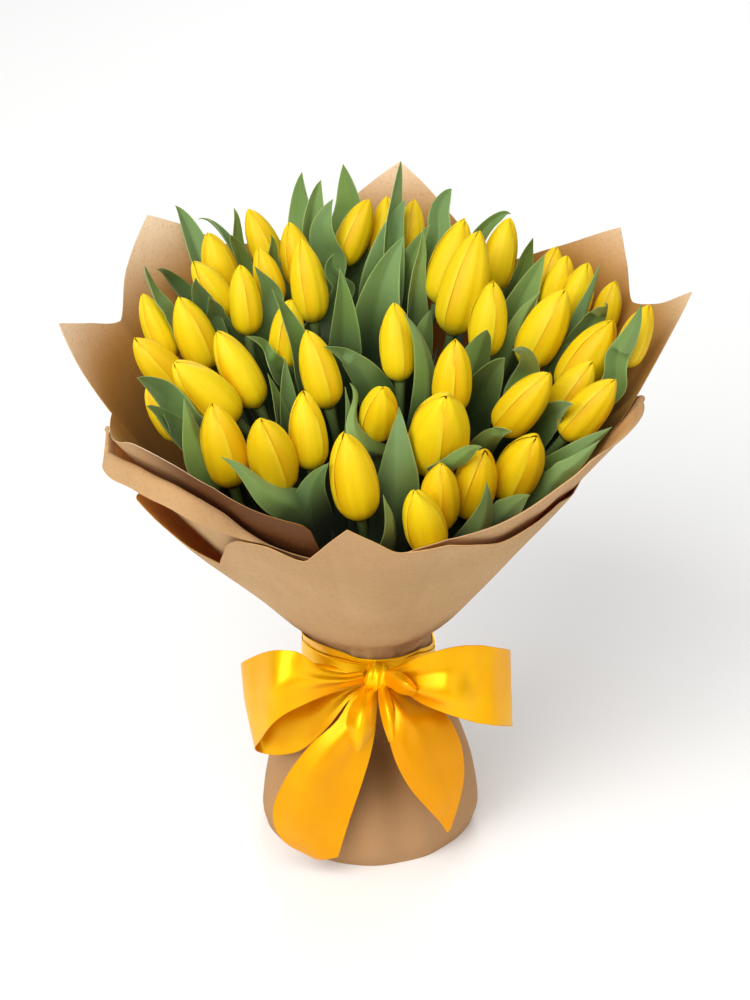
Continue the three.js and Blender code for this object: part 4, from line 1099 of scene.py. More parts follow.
@dataclass
class KraftSheet:
    """One sheet of kraft paper, from its lower edge to its free edge.

    The skirt is rows of a height, a half width and a half depth. The cuff turns over by a drop and
    stands off by a distance. Directions are in degrees from the front.
    """

    cut: SheetCut
    folds: PaperFolds
    thickness: float = 0.5
    step: float = 0.8
    least_gap: float = 0.95
    skirt: tuple[Triple, ...] = (
        (0, 69.5, 59), (17, 73.5, 66), (50, 69.5, 68), (102, 52, 52),
        (135, WAIST_RADIUS, WAIST_RADIUS), (157, WAIST_RADIUS, WAIST_RADIUS),
    )
    neck: Pair = (128.0, 133.0)
    skirt_rows: int = 24
    neck_rows: int = 9
    cone_rows: int = 46
    cuff_rows: int = 9
    cuff_drop: float = 12.0
    cuff_stand: float = 6.0
    cuff_rise: float = 1.6
    fold_out: float = 1.5
    search_steps: int = 8
    end_room: Pair = (0.5, 0.9)
    # How much of the inner face takes the inside's painted light and shade, and how much on the right.
    dark: float = 0.92
    dark_right: float = 0.25
    right_side: Pair = (20.0, 25.0)
    # Where the painted shade on the back sheet's outer face lies, by direction and height.
    tuck_side: Pair = (53.0, 20.0)
    tuck_height: Pair = (170.0, 40.0)
    tuck_share: float = 0.97
    # Share of the painted bounce light on the outer sheets' inner faces.
    painted_bounce_share: float = 0.85
    pattern_size: Pair = (6.0, 20.0)

    @property
    def waist(self) -> float:
        """The sheet's distance from the middle at the waist."""
        return WAIST_RADIUS + self.cut.layer * LAYER

    @property
    def top(self) -> float:
        """The height where the neck ends."""
        return WAIST_HEIGHT + WAIST_HALF

    def turns(self) -> Array:
        """The directions of the columns: the edge's points, with more between them.

        Returns:
            Rising degrees.
        """
        knots = self.cut.turns
        pieces = [
            np.linspace(a, b, max(1, round((b - a) / self.step)), endpoint=False)
            for a, b in zip(knots[:-1], knots[1:])
        ]
        return np.concatenate([*pieces, knots[-1:]])

    def radius_at(self, degrees: Array, height: Array) -> Array:
        """The cone's distance from the middle, or 0 where the sheet doesn't reach.

        A column's direction depends on its height where the sheet is wrapped, so it is found by
        repeating direction = place / wrap at that height.

        Args:
            degrees: directions from the front.
            height: heights above the ground.

        Returns:
            Distances from the middle.
        """
        first, last = self.cut.turns[0], self.cut.turns[-1]
        turn = (degrees - first) % 360 + first if self.cut.closed else degrees
        share = np.zeros_like(turn)
        held = turn
        for _ in range(self.search_steps):
            high = self.cut.column(1, np.clip(held, first, last))
            share = (height - self.top) / (high - WAIST_HALF)
            held = turn / mix(self.cut.wrap, 1, np.clip(share, 0, 1))
        wide = self.cut.column(2, np.clip(held, first, last))
        before, after = self.end_room
        there = (share <= 1.01) & (held >= first - before) & (held <= last + after)
        return np.where(there & (share >= 0), mix(self.waist, wide, share), 0)

    def marks(self, facing: Array, height: Array) -> dict[str, Array | float]:
        """What the finish reads: the hollow's painted shade, the painted bounce light, the painted
        shade near the back sheet's front rim, and the inside's painted light and shade.

        The inner face takes the painted light and shade of the inside, but not on a cuff, and little
        on the right.

        Args:
            facing: directions between -180 and 180 degrees.
            height: heights above the ground.

        Returns:
            The marks by their names.
        """
        start, fade = self.right_side
        painted_inside = mix(self.dark, self.dark_right, ease((facing - start) / fade))
        side, low = self.tuck_side, self.tuck_height
        tucked_shade = ease((side[0] - abs(facing)) / side[1]) * ease((height - low[0]) / low[1])
        if self.cut.closed:
            painted_inside = np.full(facing.shape, self.dark)
        elif self.cut.cuffed:
            painted_inside[:, -self.cuff_rows - 1 :] = 0
        return {
            # The skirt's hollow, widened, for its painted shade.
            "deep": self.folds.hollow(facing, height) ** 0.5,
            "painted_bounce": 0.0 if self.cut.closed else self.painted_bounce_share,
            "tucked_shade": self.tuck_share * tucked_shade if self.cut.closed else 0.0,
            "painted_inside": painted_inside,
        }

    def cuff_over(self, turns: Array, rim: Array, high: Array) -> tuple[Array, Array]:
        """The cuff: a short curve over the rim and down on the outside.

        Args:
            turns: the columns' directions.
            rim: (n, 1) distances of the rim from the middle.
            high: (n, 1) heights of the rim.

        Returns:
            The cuff's distances from the middle and its heights.
        """
        share = self.cut.column(3, turns)[:, None]
        t = np.linspace(0, 1, self.cuff_rows)[1:]
        hem = rim + self.fold_out + self.cuff_stand * share
        end = high - self.cuff_drop * share + (1 - share)
        over = high + self.cuff_rise * share
        return parabola(rim, hem * 0.75 + rim * 0.25, hem, t), parabola(high, over, end, t)

    def skin(self, under: Sequence[KraftSheet]) -> Skin:
        """The sheet's surface.

        Below the waist it is an oval skirt, above it straight lines run up to the free edge, and
        a cuff turns over there on a short curve. No point lies inside a sheet under this one.

        Args:
            under: the sheets inside this one.

        Returns:
            The sheet.
        """
        turns, wrap = self.turns(), self.cut.wrap
        high, wide = (self.cut.column(part, turns)[:, None] for part in (1, 2))
        low = np.linspace(WAIST_HEIGHT - WAIST_HALF, self.top, self.neck_rows)
        if not self.cut.footless:
            foot = np.linspace(0, self.neck[0], self.skirt_rows)
            low = np.concatenate([foot, np.linspace(self.neck[1], self.top, self.neck_rows)])
        knots, *halves = zip(*self.skirt)
        more = self.cut.layer * LAYER
        ovals = [smooth_curve(knots, half, low) + more for half in halves]
        share = np.linspace(0, 1, self.cone_rows)[1:]
        rise = mix(self.top, WAIST_HEIGHT + high, share)
        spread = turns[:, None] * mix(wrap, 1, share)
        cone = mix(self.waist, wide, share)
        for sheet in under:
            cone = np.maximum(cone, sheet.radius_at(spread, rise) + self.least_gap)
        rows = (len(turns), len(low))
        across, deep = ([np.broadcast_to(oval, rows), cone] for oval in ovals)
        height = [np.broadcast_to(low, rows), rise]
        degrees = [np.broadcast_to(turns[:, None] * wrap, rows), spread]
        if self.cut.cuffed:
            out, fall = self.cuff_over(turns, cone[:, -1:], rise[:, -1:])
            for columns, cuff in zip((across, deep, height), (out, out, fall)):
                columns.append(cuff)
            degrees.append(np.broadcast_to(turns[:, None], fall.shape))
        across, deep, height, degrees = (
            np.concatenate(columns, axis=1) for columns in (across, deep, height, degrees)
        )
        push = self.folds.out(degrees, height)
        grid = places_round(np.radians(degrees), across + push, height, deep + push)
        uv = pattern(degrees / self.pattern_size[0], height / self.pattern_size[1])
        marks = self.marks(wrapped(degrees), height)
        return shell(grid, self.thickness, uv, self.cut.closed, **marks)


# The flowers


@dataclass
class Heads:
    """The tulip heads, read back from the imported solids."""

    names: list[str]
    middle: Array
    axis: Array
    length: Array
    radius: Array
    phase: Array
    relief: float = 1.03
    swell: float = 1.04

    @staticmethod
    def read(nodes: dict[str, bpy.types.Object]) -> Heads:
        """Reads each head's place and size.

        A head is the same after a third of a turn, so its corners' mean lies on its axis and the
        axis is the direction in which they spread most. Every head points up.

        Args:
            nodes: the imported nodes.

        Returns:
            The heads in the order of their names.
        """
        names = sorted(n for n in nodes if n.startswith("tulip_head_"))
        rows = []
        for name in names:
            mesh = nodes[name].data
            co = np.zeros(len(mesh.vertices) * 3, np.float32)
            mesh.vertices.foreach_get("co", co)
            points = np.unique(np.round(co.reshape(-1, 3).astype(float) / MM, 3), axis=0)
            centre = points.mean(axis=0)
            axis = np.linalg.eigh(np.cov((points - centre).T))[1][:, 2]
            along = (points - centre) @ axis
            aside = np.linalg.norm(points - centre - along[:, None] * axis, axis=1)
            if axis[2] < 0:
                axis, along = -axis, -along
            foot, length = centre + axis * along.min(), np.ptp(along)
            u, v = square_to(axis)
            tip = points[np.argmax(along)] - foot
            phase = math.degrees(math.atan2(tip @ v, tip @ u)) % 120
            rows.append((foot + axis * length / 2, axis, length, aside.max() / Heads.relief, phase))
        return Heads(names, *(np.array(column) for column in zip(*rows)))

    @property
    def foot(self) -> Array:
        """Where each head meets its stem."""
        return self.middle - self.axis * self.length[:, None] / 2

    def way_out(self, place: Array, way: Array, k: int, margin: float = 1.3) -> Array:
        """How far places must move along a direction to leave a head.

        The head is an ellipsoid, which a stretch along its axis makes a ball, and the distance is
        the root of the line's quadratic with that ball.

        Args:
            place: (..., 3) places.
            way: directions.
            k: the head's number.
            margin: room round the head.

        Returns:
            Distances, 0 for places outside.
        """
        size = self.radius[k] * self.swell + margin
        more = size / (self.length[k] * 0.5 + margin) - 1
        axis = self.axis[k]
        q = place - self.middle[k]
        q = q + axis * (more * (q @ axis))[..., None]
        d = way + axis * (more * (way @ axis))[..., None]
        inside = dot(q, q) - size * size
        along, dd = dot(q, d), np.maximum(dot(d, d), 1e-9)
        root = np.sqrt(np.maximum(along**2 - dd * inside, 0))
        return np.where(inside < 0, (root - along) / dd, 0)

    def aside(self, place: Array, k: int) -> Array:
        """The directions square to a head's axis that lead from it to places."""
        q = place - self.middle[k]
        return unit(q - self.axis[k] * (q @ self.axis[k])[..., None])


def square_to(axis: Array) -> tuple[Array, Array]:
    """Two directions square to an axis, the first as near +X as it can be."""
    first = unit(np.array([1.0, 0, 0]) - axis * axis[0])
    return first, np.cross(axis, first)


class Whorl(Enum):
    """The two rings of three petals."""

    OUTER = "outer"
    INNER = "inner"


@dataclass(frozen=True)
class PetalCut:
    """One ring's petals, in degrees and in shares of the head's length and radius."""

    first: float
    reach: float
    out: float
    half: tuple[float, float, float, float]
    arch: float


PETAL_CUTS = {
    Whorl.OUTER: PetalCut(0.0, 1.0, 1.0, (60, 65, 64, 62), 0.075),
    Whorl.INNER: PetalCut(60.0, 0.965, 0.83, (52, 57, 57, 56), 0.05),
}


@dataclass
class TulipHeads:
    """The heads' petals: three outer ones over three inner ones, closed to a bud.

    The outline is the bud's distance from its axis at heights, both in shares. Each head is turned
    by its own number of degrees.
    """

    heads: Heads
    seed: int = 11
    across: int = 17
    along: int = 27
    crowding: float = 0.92
    thickness: Pair = (0.75, 0.35)
    outline: tuple[Pair, ...] = (
        (0, 0.14), (0.025, 0.4), (0.09, 0.72), (0.2, 0.93), (0.36, 1.0), (0.53, 0.96),
        (0.7, 0.82), (0.83, 0.61), (0.92, 0.385), (0.97, 0.21), (1.0, 0.03),
    )
    half_places: tuple[float, float, float, float] = (0, 0.35, 0.75, 1)
    shorter: float = 0.035
    lean: float = 0.05
    slack: float = 0.02
    groove: float = 0.03
    rib_swell: float = 0.022
    slant: float = 0.03
    wave: float = 0.012
    ripple: float = 0.006
    turns: tuple[int, ...] = (
        0, 35, -40, 30, -50, 20, 40, 35, -30, 45, -35, 25, -20, -45, -45, 60, 58, 30, -35, 40, 25, -30,
        0, 35, 5, 15, 50, 30, 60, 5, 30, 25, -30, -40, 35, 5, -45, -40, -35, -20, 5, 0, 30, -40,
    )

    def petal(self, k: int, whorl: Whorl, order: int, draw: np.random.Generator) -> Skin:
        """One petal.

        Across it q runs from -1 to 1 and along it t from 0 to 1. Its height is t times an arch that
        falls off with |q|^2, its angle is q times a half width that narrows upwards, and its
        distance from the axis is the bud's outline, with a groove along the rib, a slant that lets
        each petal overlap the next, waves along the margins, and a tip that is a little slack.

        Args:
            k: the head's number.
            whorl: the ring that the petal is in.
            order: which of the ring's three it is.
            draw: the head's random numbers.

        Returns:
            The petal.
        """
        h, cut = self.heads, PETAL_CUTS[whorl]
        q = np.linspace(-1, 1, self.across)[:, None]
        t = np.linspace(0, 1, self.along)[None, :] ** self.crowding
        reach = cut.reach * (1 - self.shorter * draw.random())
        top = reach * (1 - cut.arch * abs(q) ** (2.0 + 0.5 * draw.random()))
        height = t * top
        level = mix(height / reach, t, 0.55 * ease((t - 0.66) / 0.34))
        half = smooth_curve(self.half_places, cut.half, height)
        lean = draw.uniform(-self.lean, self.lean)
        degrees = h.phase[k] + self.turns[k] + cut.first + 120 * order + (q + lean * t) * half
        out = smooth_curve(*zip(*self.outline), level) * cut.out
        slack = draw.uniform(0, self.slack) * ease((height - 0.7) / 0.3)
        groove = -self.groove * hump(q, 0, 0.12) + self.rib_swell * hump(abs(q), 0.28, 0.16)
        rise = ease(height / 0.3)
        slant = self.slant * q * rise * mix(1, 0.5, ease((height - 0.85) / 0.15))
        beat = draw.uniform(0, 6.3, 2)
        wave = self.wave * np.sin(9 * t + np.where(q > 0, *beat)) * abs(q) ** 3
        ripple = self.ripple * np.sin(17 * q + beat[0]) * rise
        out = out * (1 + (groove + slant + wave + ripple) * ease(height / 0.12)) + slack
        u, v = square_to(h.axis[k])
        a = np.radians(degrees)[..., None]
        ring = u * np.cos(a) + v * np.sin(a)
        up = h.axis[k] * (height * h.length[k])[..., None]
        grid = h.foot[k] + up + ring * (out * h.radius[k])[..., None]
        thick = mix(*self.thickness, abs(q) ** 2) * mix(1, 0.7, t)
        return shell(grid, thick, pattern((q + 1) / 2, height))

    def build(self) -> None:
        """Makes one piece a head."""
        for k, name in enumerate(self.heads.names):
            draw = np.random.default_rng(self.seed + k)
            petals = [
                self.petal(k, whorl, order, draw)
                for whorl in (Whorl.INNER, Whorl.OUTER)
                for order in range(3)
            ]
            skin = Skin.joined(petals)
            skin.marks["tint"] = np.full(len(skin.points), draw.random() ** 2)
            number = name.rsplit("_", 1)[1]
            make_piece(f"tulip_petals_{number}", skin, PetalFinish(), [name])


# Stems and leaves


@dataclass
class Bundle:
    """How the stems run and where a place is clear of heads and paper.

    At the waist and at the foot the stems' places are a share of the heads' places, at most a
    distance from the middle stem, and the spiral turns them.
    """

    heads: Heads
    middle_head: int = 14
    spiral: float = 42.0
    waist: Pair = (0.2, 31.4)
    foot: Pair = (0.3, 49.0)
    pull: float = 70.0
    spread: float = 1.35
    stem_radius: float = 3.2
    let_in: float = 0.6
    free_height: float = 30.0
    paper_rest: float = 2.2
    over_the_edge: float = 14.0
    front_peak: float = 205.0

    def in_bundle(self, shape: Pair, degrees: float, height: float) -> Array:
        """Each stem's place at a height: its head's place, drawn together and turned.

        Args:
            shape: the share that the heads' places are drawn to, and the farthest one.
            degrees: how far the ring of stems is turned.
            height: the height.

        Returns:
            A place for each stem.
        """
        share, most = shape
        flat = (self.heads.middle - self.heads.middle[self.middle_head])[:, :2] * share
        far = np.linalg.norm(flat, axis=1, keepdims=True)
        flat = flat * np.minimum(1, most / np.maximum(far, 1e-9))
        c, s = math.cos(math.radians(degrees)), math.sin(math.radians(degrees))
        x, y = flat.T
        return np.column_stack([x * c - y * s, x * s + y * c, np.full(len(flat), height)])

    def beyond_paper(self, place: Array, radius: Array | float) -> Array:
        """How far balls reach into the innermost sheet.

        Args:
            place: their middles.
            radius: their radii.

        Returns:
            Depths, less than 0 where a ball is clear and 0 above the paper's edge.
        """
        edge = np.array(BACK_SHEET.edge)
        edge = np.concatenate([edge, edge[:1] + (360, 0, 0)])
        turn = np.degrees(np.arctan2(place[..., 0], -place[..., 1]))
        turn = edge[0, 0] + (turn - edge[0, 0]) % 360
        high, out = (np.interp(turn, edge[:, 0], edge[:, part]) for part in (1, 2))
        height = place[..., 2] - WAIST_HEIGHT
        flare = (out - WAIST_RADIUS) / (high - WAIST_HALF)
        wall = WAIST_RADIUS + flare * np.maximum(0, height - WAIST_HALF)
        over = np.hypot(place[..., 0], place[..., 1]) + radius + self.paper_rest - wall
        free = height > np.maximum(high, self.front_peak) + self.over_the_edge
        return np.where(free, 0, over)

    def bent_clear(self, place: Array, own: Array) -> Array:
        """Stems' places, moved clear of every head but their own and of the paper.

        Args:
            place: (n, 3) places.
            own: (n,) numbers of their own heads.

        Returns:
            The moved places.
        """
        moved = place.copy()
        for _ in range(2):
            for k in range(len(self.heads.names)):
                free = (own != k) & (place[:, 2] >= WAIST_HEIGHT + self.free_height)
                aside = self.heads.aside(moved, k)
                out = self.heads.way_out(moved - aside * self.stem_radius, aside, k)
                moved += aside * np.where(free, out, 0)[:, None]
        over = self.beyond_paper(moved, self.stem_radius)
        over = np.where(place[:, 2] > WAIST_HEIGHT + WAIST_HALF, np.maximum(0, over), 0)
        return moved - unit(moved * (1, 1, 0)) * over[:, None]

    def stems(self, shares: Array) -> tuple[Array, Array]:
        """Every stem's cut end, and its places at shares of the way from waist to head.

        The upper run is a cubic Bezier curve that leaves the waist in line with the lower run and
        meets the head along its axis.

        Args:
            shares: (m,) shares.

        Returns:
            (n, 3) cut ends and (n, m, 3) places.
        """
        h = self.heads
        cut = self.in_bundle(self.foot, 2 * self.spiral, 0)
        waist = self.in_bundle(self.waist, self.spiral, WAIST_HEIGHT)
        top = h.foot - h.axis * self.let_in
        lower = waist + unit(waist - cut) * self.pull
        lower[:, :2] *= self.spread
        upper = top - h.axis * self.pull
        t = shares[None, :, None]
        p, q, r, s = (w[:, None] for w in (waist, lower, upper, top))
        curve = (1 - t) ** 3 * p + 3 * t * (1 - t) ** 2 * q + 3 * t**2 * (1 - t) * r + t**3 * s
        own = np.repeat(np.arange(len(cut)), len(shares))
        return cut, self.bent_clear(curve.reshape(-1, 3), own).reshape(curve.shape)


@dataclass
class Stems:
    """The stems, from their cut ends to the heads."""

    bundle: Bundle
    rings: int = 26
    low_rings: int = 8
    sides: int = 10
    passes: int = 3
    taper: float = 0.16
    swell: Pair = (0.25, 0.03)

    def build(self) -> Skin:
        """All stems as tubes that swell a little under the head.

        Returns:
            The stems.
        """
        cut, upper = self.bundle.stems(np.linspace(0, 1, self.rings))
        shares = np.linspace(0, 1, self.low_rings, endpoint=False)[:, None]
        skins = []
        for end, run in zip(cut, upper):
            for _ in range(self.passes):
                run[1:-1] = (run[:-2] + 2 * run[1:-1] + run[2:]) / 4
            path = np.concatenate([mix(end, run[0], shares), run])
            t = np.linspace(0, 1, len(path))
            more, reach = self.swell
            radius = self.bundle.stem_radius * (1.02 - self.taper * t + more * hump(t, 1, reach))
            skins.append(tube(path, radius, self.sides, flat_start=True))
        skin = Skin.joined(skins)
        # How deep each point lies below the heads, read by the finish as painted shade.
        skin.marks["deep"] = DOME.below(skin.points)
        return skin


LEAF_CUTS: tuple[Row, ...] = (
    (174, 205, 199, 250, 20, 25), (198, 219, 233, 245, 13, 60), (234, 208, 251, 262, 20, 55),
    (231, 235, 238, 278, 18, 55), (271, 235, 291, 293, 22, 35), (302, 172, 301, 236, 26, -25),
    (321, 180, 314, 236, 22, 30), (333, 199, 317, 260, 26, 15), (343, 164, 351, 230, 30, -10),
    (145, 266, 168, 312, 18, 50, 20, 72), (157, 269, 187, 298, 18, 40), (209, 297, 233, 346, 28, 0),
    (196, 278, 208, 326, 22, 20, 20, 30), (249, 267, 264, 335, 30, 0),
    (272, 289, 299, 346, 20, 30, 20, 44), (334, 254, 316, 318, 26, 20, 20, 8),
    (340, 268, 345, 340, 24, 25), (246, 336, 291, 374, 20, 30), (323, 347, 372, 386, 26, 0),
    (345, 387, 352, 450, 16, 35), (350, 383, 379, 442, 18, 25), (285, 358, 291, 422, 18, 35),
    (268, 374, 286, 428, 16, 35), (184, 398, 206, 466, 28, 15, 20, 12),
    (137, 378, 179, 406, 24, 10, 20, 50), (147, 406, 181, 432, 20, 30, 20, 30),
    (221, 457, 288, 502, 26, 10, 22, 0), (329, 463, 312, 502, 26, 0), (399, 407, 398, 482, 30, 0),
    (383, 495, 388, 534, 18, 45), (401, 161, 396, 216, 20, 55), (406, 199, 385, 266, 30, 0),
    (404, 236, 378, 312, 34, 10), (452, 189, 432, 230, 20, 15), (430, 225, 402, 292, 24, 15),
    (423, 228, 418, 312, 20, 40), (431, 310, 420, 352, 18, 25, 20, 8),
    (404, 314, 424, 376, 20, 35, 20, 18), (511, 214, 485, 242, 13, 30), (533, 238, 513, 292, 22, 30),
    (545, 254, 514, 322, 28, 10), (541, 292, 507, 352, 20, 40), (600, 264, 571, 332, 20, 45, 20, 42),
    (606, 304, 586, 334, 20, 20, 20, 58), (641, 304, 614, 360, 18, 10, 26, 82),
    (512, 350, 525, 376, 22, 15, 20, 36), (505, 358, 480, 396, 28, 0),
    (573, 404, 536, 428, 26, 0, 20, 8), (612, 427, 560, 464, 22, 10), (600, 440, 546, 488, 20, 25),
    (486, 482, 477, 528, 20, 15, 22, 0), (537, 500, 506, 514, 20, 15),
    (487, 330, 474, 362, 22, 10, 20, 18), (482, 447, 456, 468, 18, 25, 20, 14),
    (512, 432, 480, 448, 20, 25),
)
"""Blades: the tip and the middle in the picture, the width and how far the blade is turned.

Some rows also say how high the tip is and how far the blade is brought towards the viewer.
"""


@dataclass
class Leaves:
    """The blades: a rib line for each, found as the CAD finds it, and a folded blade along it.

    The tips stand a lift above the dome and the middles sink under it. The blades lie in layers,
    and each layer ends nearer to the viewer and lies deeper than the last. The gutter and the fold
    are the rib's depth as a share of the width: the first keeps blades clear, the second is seen.
    """

    bundle: Bundle
    seed: int = 5
    lift: float = 20.0
    sink: float = 26.0
    middle_share: float = 0.6
    layers: int = 4
    farthest: float = 152.0
    apart: float = 11.0
    deeper: float = 2.0
    lean: float = 14.0
    inward_rise: float = 60.0
    steps: int = 25
    passes: int = 8
    smoothing: tuple[int, ...] = (1, 1, 1, 2)
    held: int = 2
    root_width: float = 0.34
    gutter: float = 0.16
    fold: float = 0.30
    point: float = 1.4
    blade: float = 1.2
    thickness: Pair = (1.0, 0.5)
    thinning: Pair = (1.1, 0.55)
    paper_gap: float = 3.2
    across: int = 13
    along: int = 43
    margin: float = 0.9
    least_width: float = 0.3
    twist: float = 0.5
    twist_start: float = 0.35
    wave: float = 0.05
    wave_rate: Pair = (7.0, 13.0)
    low_shares: Triple = (0.18, 0.5, 0.86)
    low_middle: Pair = (6.0, 16.0)
    low_tip: Pair = (10.0, 24.0)
    low_lift: Pair = (-6.0, 14.0)
    low_width: Pair = (20.0, 30.0)

    @property
    def shares(self) -> Array:
        """The rib lines' steps as shares."""
        return np.linspace(0, 1, self.steps)

    def width_share(self, t: Array) -> Array:
        """A blade's width: it swells from the root to the middle and runs out to a point."""
        low = mix(self.root_width, 1, np.sin(np.minimum(t, 0.5) * np.pi))
        return np.where(t < 0.5, low, 1 - (np.maximum(t - 0.5, 0) * 2) ** self.point)

    def bows(self, root: Array, pull: Array, end: Array) -> tuple[Array, Array]:
        """Parabolas from roots to ends.

        Args:
            root: their starts.
            pull: the places that they are drawn towards.
            end: their ends.

        Returns:
            Their places and unit directions, each (leaves, steps, 3).
        """
        t = self.shares[None, :, None]
        r, p, e = root[:, None], pull[:, None], end[:, None]
        return parabola(r, p, e, t), unit(2 * (1 - t) * (p - r) + 2 * t * (e - p))

    def spines(self) -> tuple[Array, Array, Array, Array]:
        """Every blade's rib line.

        A parabola from the nearest stem over the blade's middle to its tip, bent round the heads
        and away from the paper in a few smoothed passes.

        Returns:
            Places, side directions, inward directions and widths, each (leaves, steps, ...).
        """
        table = [row if len(row) > 6 else (*row, self.lift, 0) for row in LEAF_CUTS]
        tip_x, tip_y, mid_x, mid_y, wide, turn, lift, ahead = np.array(table, float).T
        layer = np.arange(len(table)) % self.layers
        farthest = self.farthest - layer * self.apart
        end = DOME.seen(EYE, np.stack([tip_x, tip_y], 1), lift, farthest)
        sunk = -self.sink - layer * self.deeper
        half = DOME.seen(EYE, np.stack([mid_x, mid_y], 1), sunk, farthest - self.lean)
        waist = half * (self.bundle.waist[0], self.bundle.waist[0], 0) + (0, 0, WAIST_HEIGHT)
        _, stems = self.bundle.stems(np.arange(2, 15) / 16)
        near = stems.reshape(-1, 3)
        gaps = np.linalg.norm(near[None] - ((half + waist) / 2)[:, None], axis=2)
        root = near[np.argmin(gaps, axis=1)]
        m = self.middle_share
        pull = (half - root * (1 - m) ** 2 - end * m**2) / (2 * m * (1 - m))
        place, along = self.bows(root, pull, end)
        rise = ease(self.shares / 0.5)[:, None]
        place = place + unit(EYE.place - place) * ahead[:, None, None] * rise
        side = unit(np.cross(along, np.broadcast_to(EYE.back, along.shape)))
        side = turned(side, along, np.radians(turn)[:, None])
        inward = unit(np.cross(side, along))
        upward = np.full(place.shape[:2] + (1,), self.inward_rise)
        to_axis = np.concatenate([-place[..., :2], upward], -1)
        inward = np.where(dot(inward, to_axis)[..., None] < 0, -inward, inward)
        width = wide[:, None] * self.width_share(self.shares)
        for step in range(self.passes):
            moves = self.clearing(place, side, inward, width)
            place = place + (moves if step + 1 == self.passes else self.softened(moves))
        return place, side, inward, width

    def clearing(self, place: Array, side: Array, inward: Array, width: Array) -> Array:
        """The moves that take each step but the roots out of the heads and the paper.

        Args:
            place: the rib lines' places.
            side: their side directions.
            inward: their inward directions.
            width: the blades' widths.

        Returns:
            The moves.
        """
        heads = self.bundle.heads
        rib = place - inward * (self.gutter * width + self.blade / 2)[..., None]
        edges = [place + side * (s * width)[..., None] for s in (-0.5, 0.5)] + [rib]
        moves = np.zeros_like(place)
        for k in range(len(heads.names)):
            far = np.linalg.norm(place - heads.middle[k], axis=-1) > heads.length[k] + width
            aside = heads.aside(place, k)
            out = np.max([heads.way_out(e, aside, k) for e in edges], axis=0)
            moves += aside * np.where(far, 0, np.maximum(out, 0))[..., None]
        overs = np.array([self.bundle.beyond_paper(e, self.paper_gap) for e in edges])
        worst = np.argmax(overs, axis=0)
        points = np.take_along_axis(np.array(edges), worst[None, ..., None], axis=0)[0]
        moves -= unit(points * (1, 1, 0)) * np.maximum(overs.max(axis=0), 0)[..., None]
        moves[:, : self.held] = 0
        return moves

    @staticmethod
    def softened(moves: Array) -> Array:
        """Each step's move as the mean of five neighbours.

        Args:
            moves: the rib lines' moves.

        Returns:
            The softer moves.
        """
        last = moves.shape[1] - 1
        picks = np.clip(np.arange(last + 1)[:, None] + np.arange(-2, 3), 0, last)
        return moves[:, picks].mean(axis=2)

    def blades(self, spines: tuple[Array, ...], draw: np.random.Generator) -> Skin:
        """Folded blades along rib lines.

        Across a blade a runs from -1 to 1. A point lies a half width to the side, and the rib lies
        deeper by the fold times 1 - |a|^1.12. The margins wave, the blade twists towards its tip,
        and last every point is moved out of the heads.

        Args:
            spines: places, sides, inward directions and widths.
            draw: the leaves' random numbers.

        Returns:
            The blades.
        """
        place, side, inward, width = (
            through(np.moveaxis(w, 1, 0), self.along).swapaxes(0, 1) for w in spines
        )
        side, inward = unit(side), unit(inward)
        n = len(place)
        t = np.linspace(0, 1, self.along)
        axis = unit(np.cross(inward, side))
        later = ease((t - self.twist_start) / (1 - self.twist_start))
        twist = draw.uniform(-self.twist, self.twist, (n, 1)) * later
        side, inward = turned(side, axis, twist), turned(inward, axis, twist)
        t = t[:, None]
        a = np.linspace(-1, 1, self.across)
        width = np.maximum(width, self.least_width)[..., None]
        beats = draw.uniform(0, 6.3, (n, 1, 2))
        rate = draw.uniform(*self.wave_rate, (n, 1, 1))
        wave = np.sin(rate * t + np.where(a > 0, beats[..., :1], beats[..., 1:]))
        wave = wave * self.wave * width * abs(a) ** 2.5 * ease(t / 0.3)
        fold = mix(1.1, 0.75, t) * self.fold * width * (1 - abs(a) ** 1.12)
        aside = side[:, :, None] * (a * width / 2)[..., None]
        deep = inward[:, :, None] * (wave - fold)[..., None]
        grid = self.pushed_out(place[:, :, None] + aside + deep)
        thick = mix(*self.thickness, abs(a) ** 1.5) * mix(*self.thinning, t)
        uv = pattern((a + 1) / 2, t)
        skin = Skin.joined([shell(blade, thick, uv, tint=draw.random()) for blade in grid])
        # How deep each point lies below the heads, read by the finish as painted shade.
        skin.marks["deep"] = DOME.below(skin.points)
        return skin

    def pushed_out(self, grid: Array) -> Array:
        """Blades' points moved out of the heads, in passes that are smoothed along the blade.

        Args:
            grid: the points.

        Returns:
            The points after the last pass.
        """
        heads = self.bundle.heads
        for step in range(self.passes):
            moves = np.zeros_like(grid)
            for k in range(len(heads.names)):
                near = np.linalg.norm(grid - heads.middle[k], axis=-1) < heads.length[k]
                spots = grid[near]
                aside = heads.aside(spots, k)
                out = heads.way_out(spots, aside, k, self.margin)
                moves[near] += aside * out[:, None]
            for axis in self.smoothing if step + 1 < self.passes else ():
                ends = moves.take([0], axis), moves, moves.take([-1], axis)
                padded = np.concatenate(ends, axis)
                n = moves.shape[axis]
                low, high = (padded.take(range(s, s + n), axis) for s in (0, 2))
                moves = (low + 2 * moves + high) / 4
            grid = grid + moves
        return grid

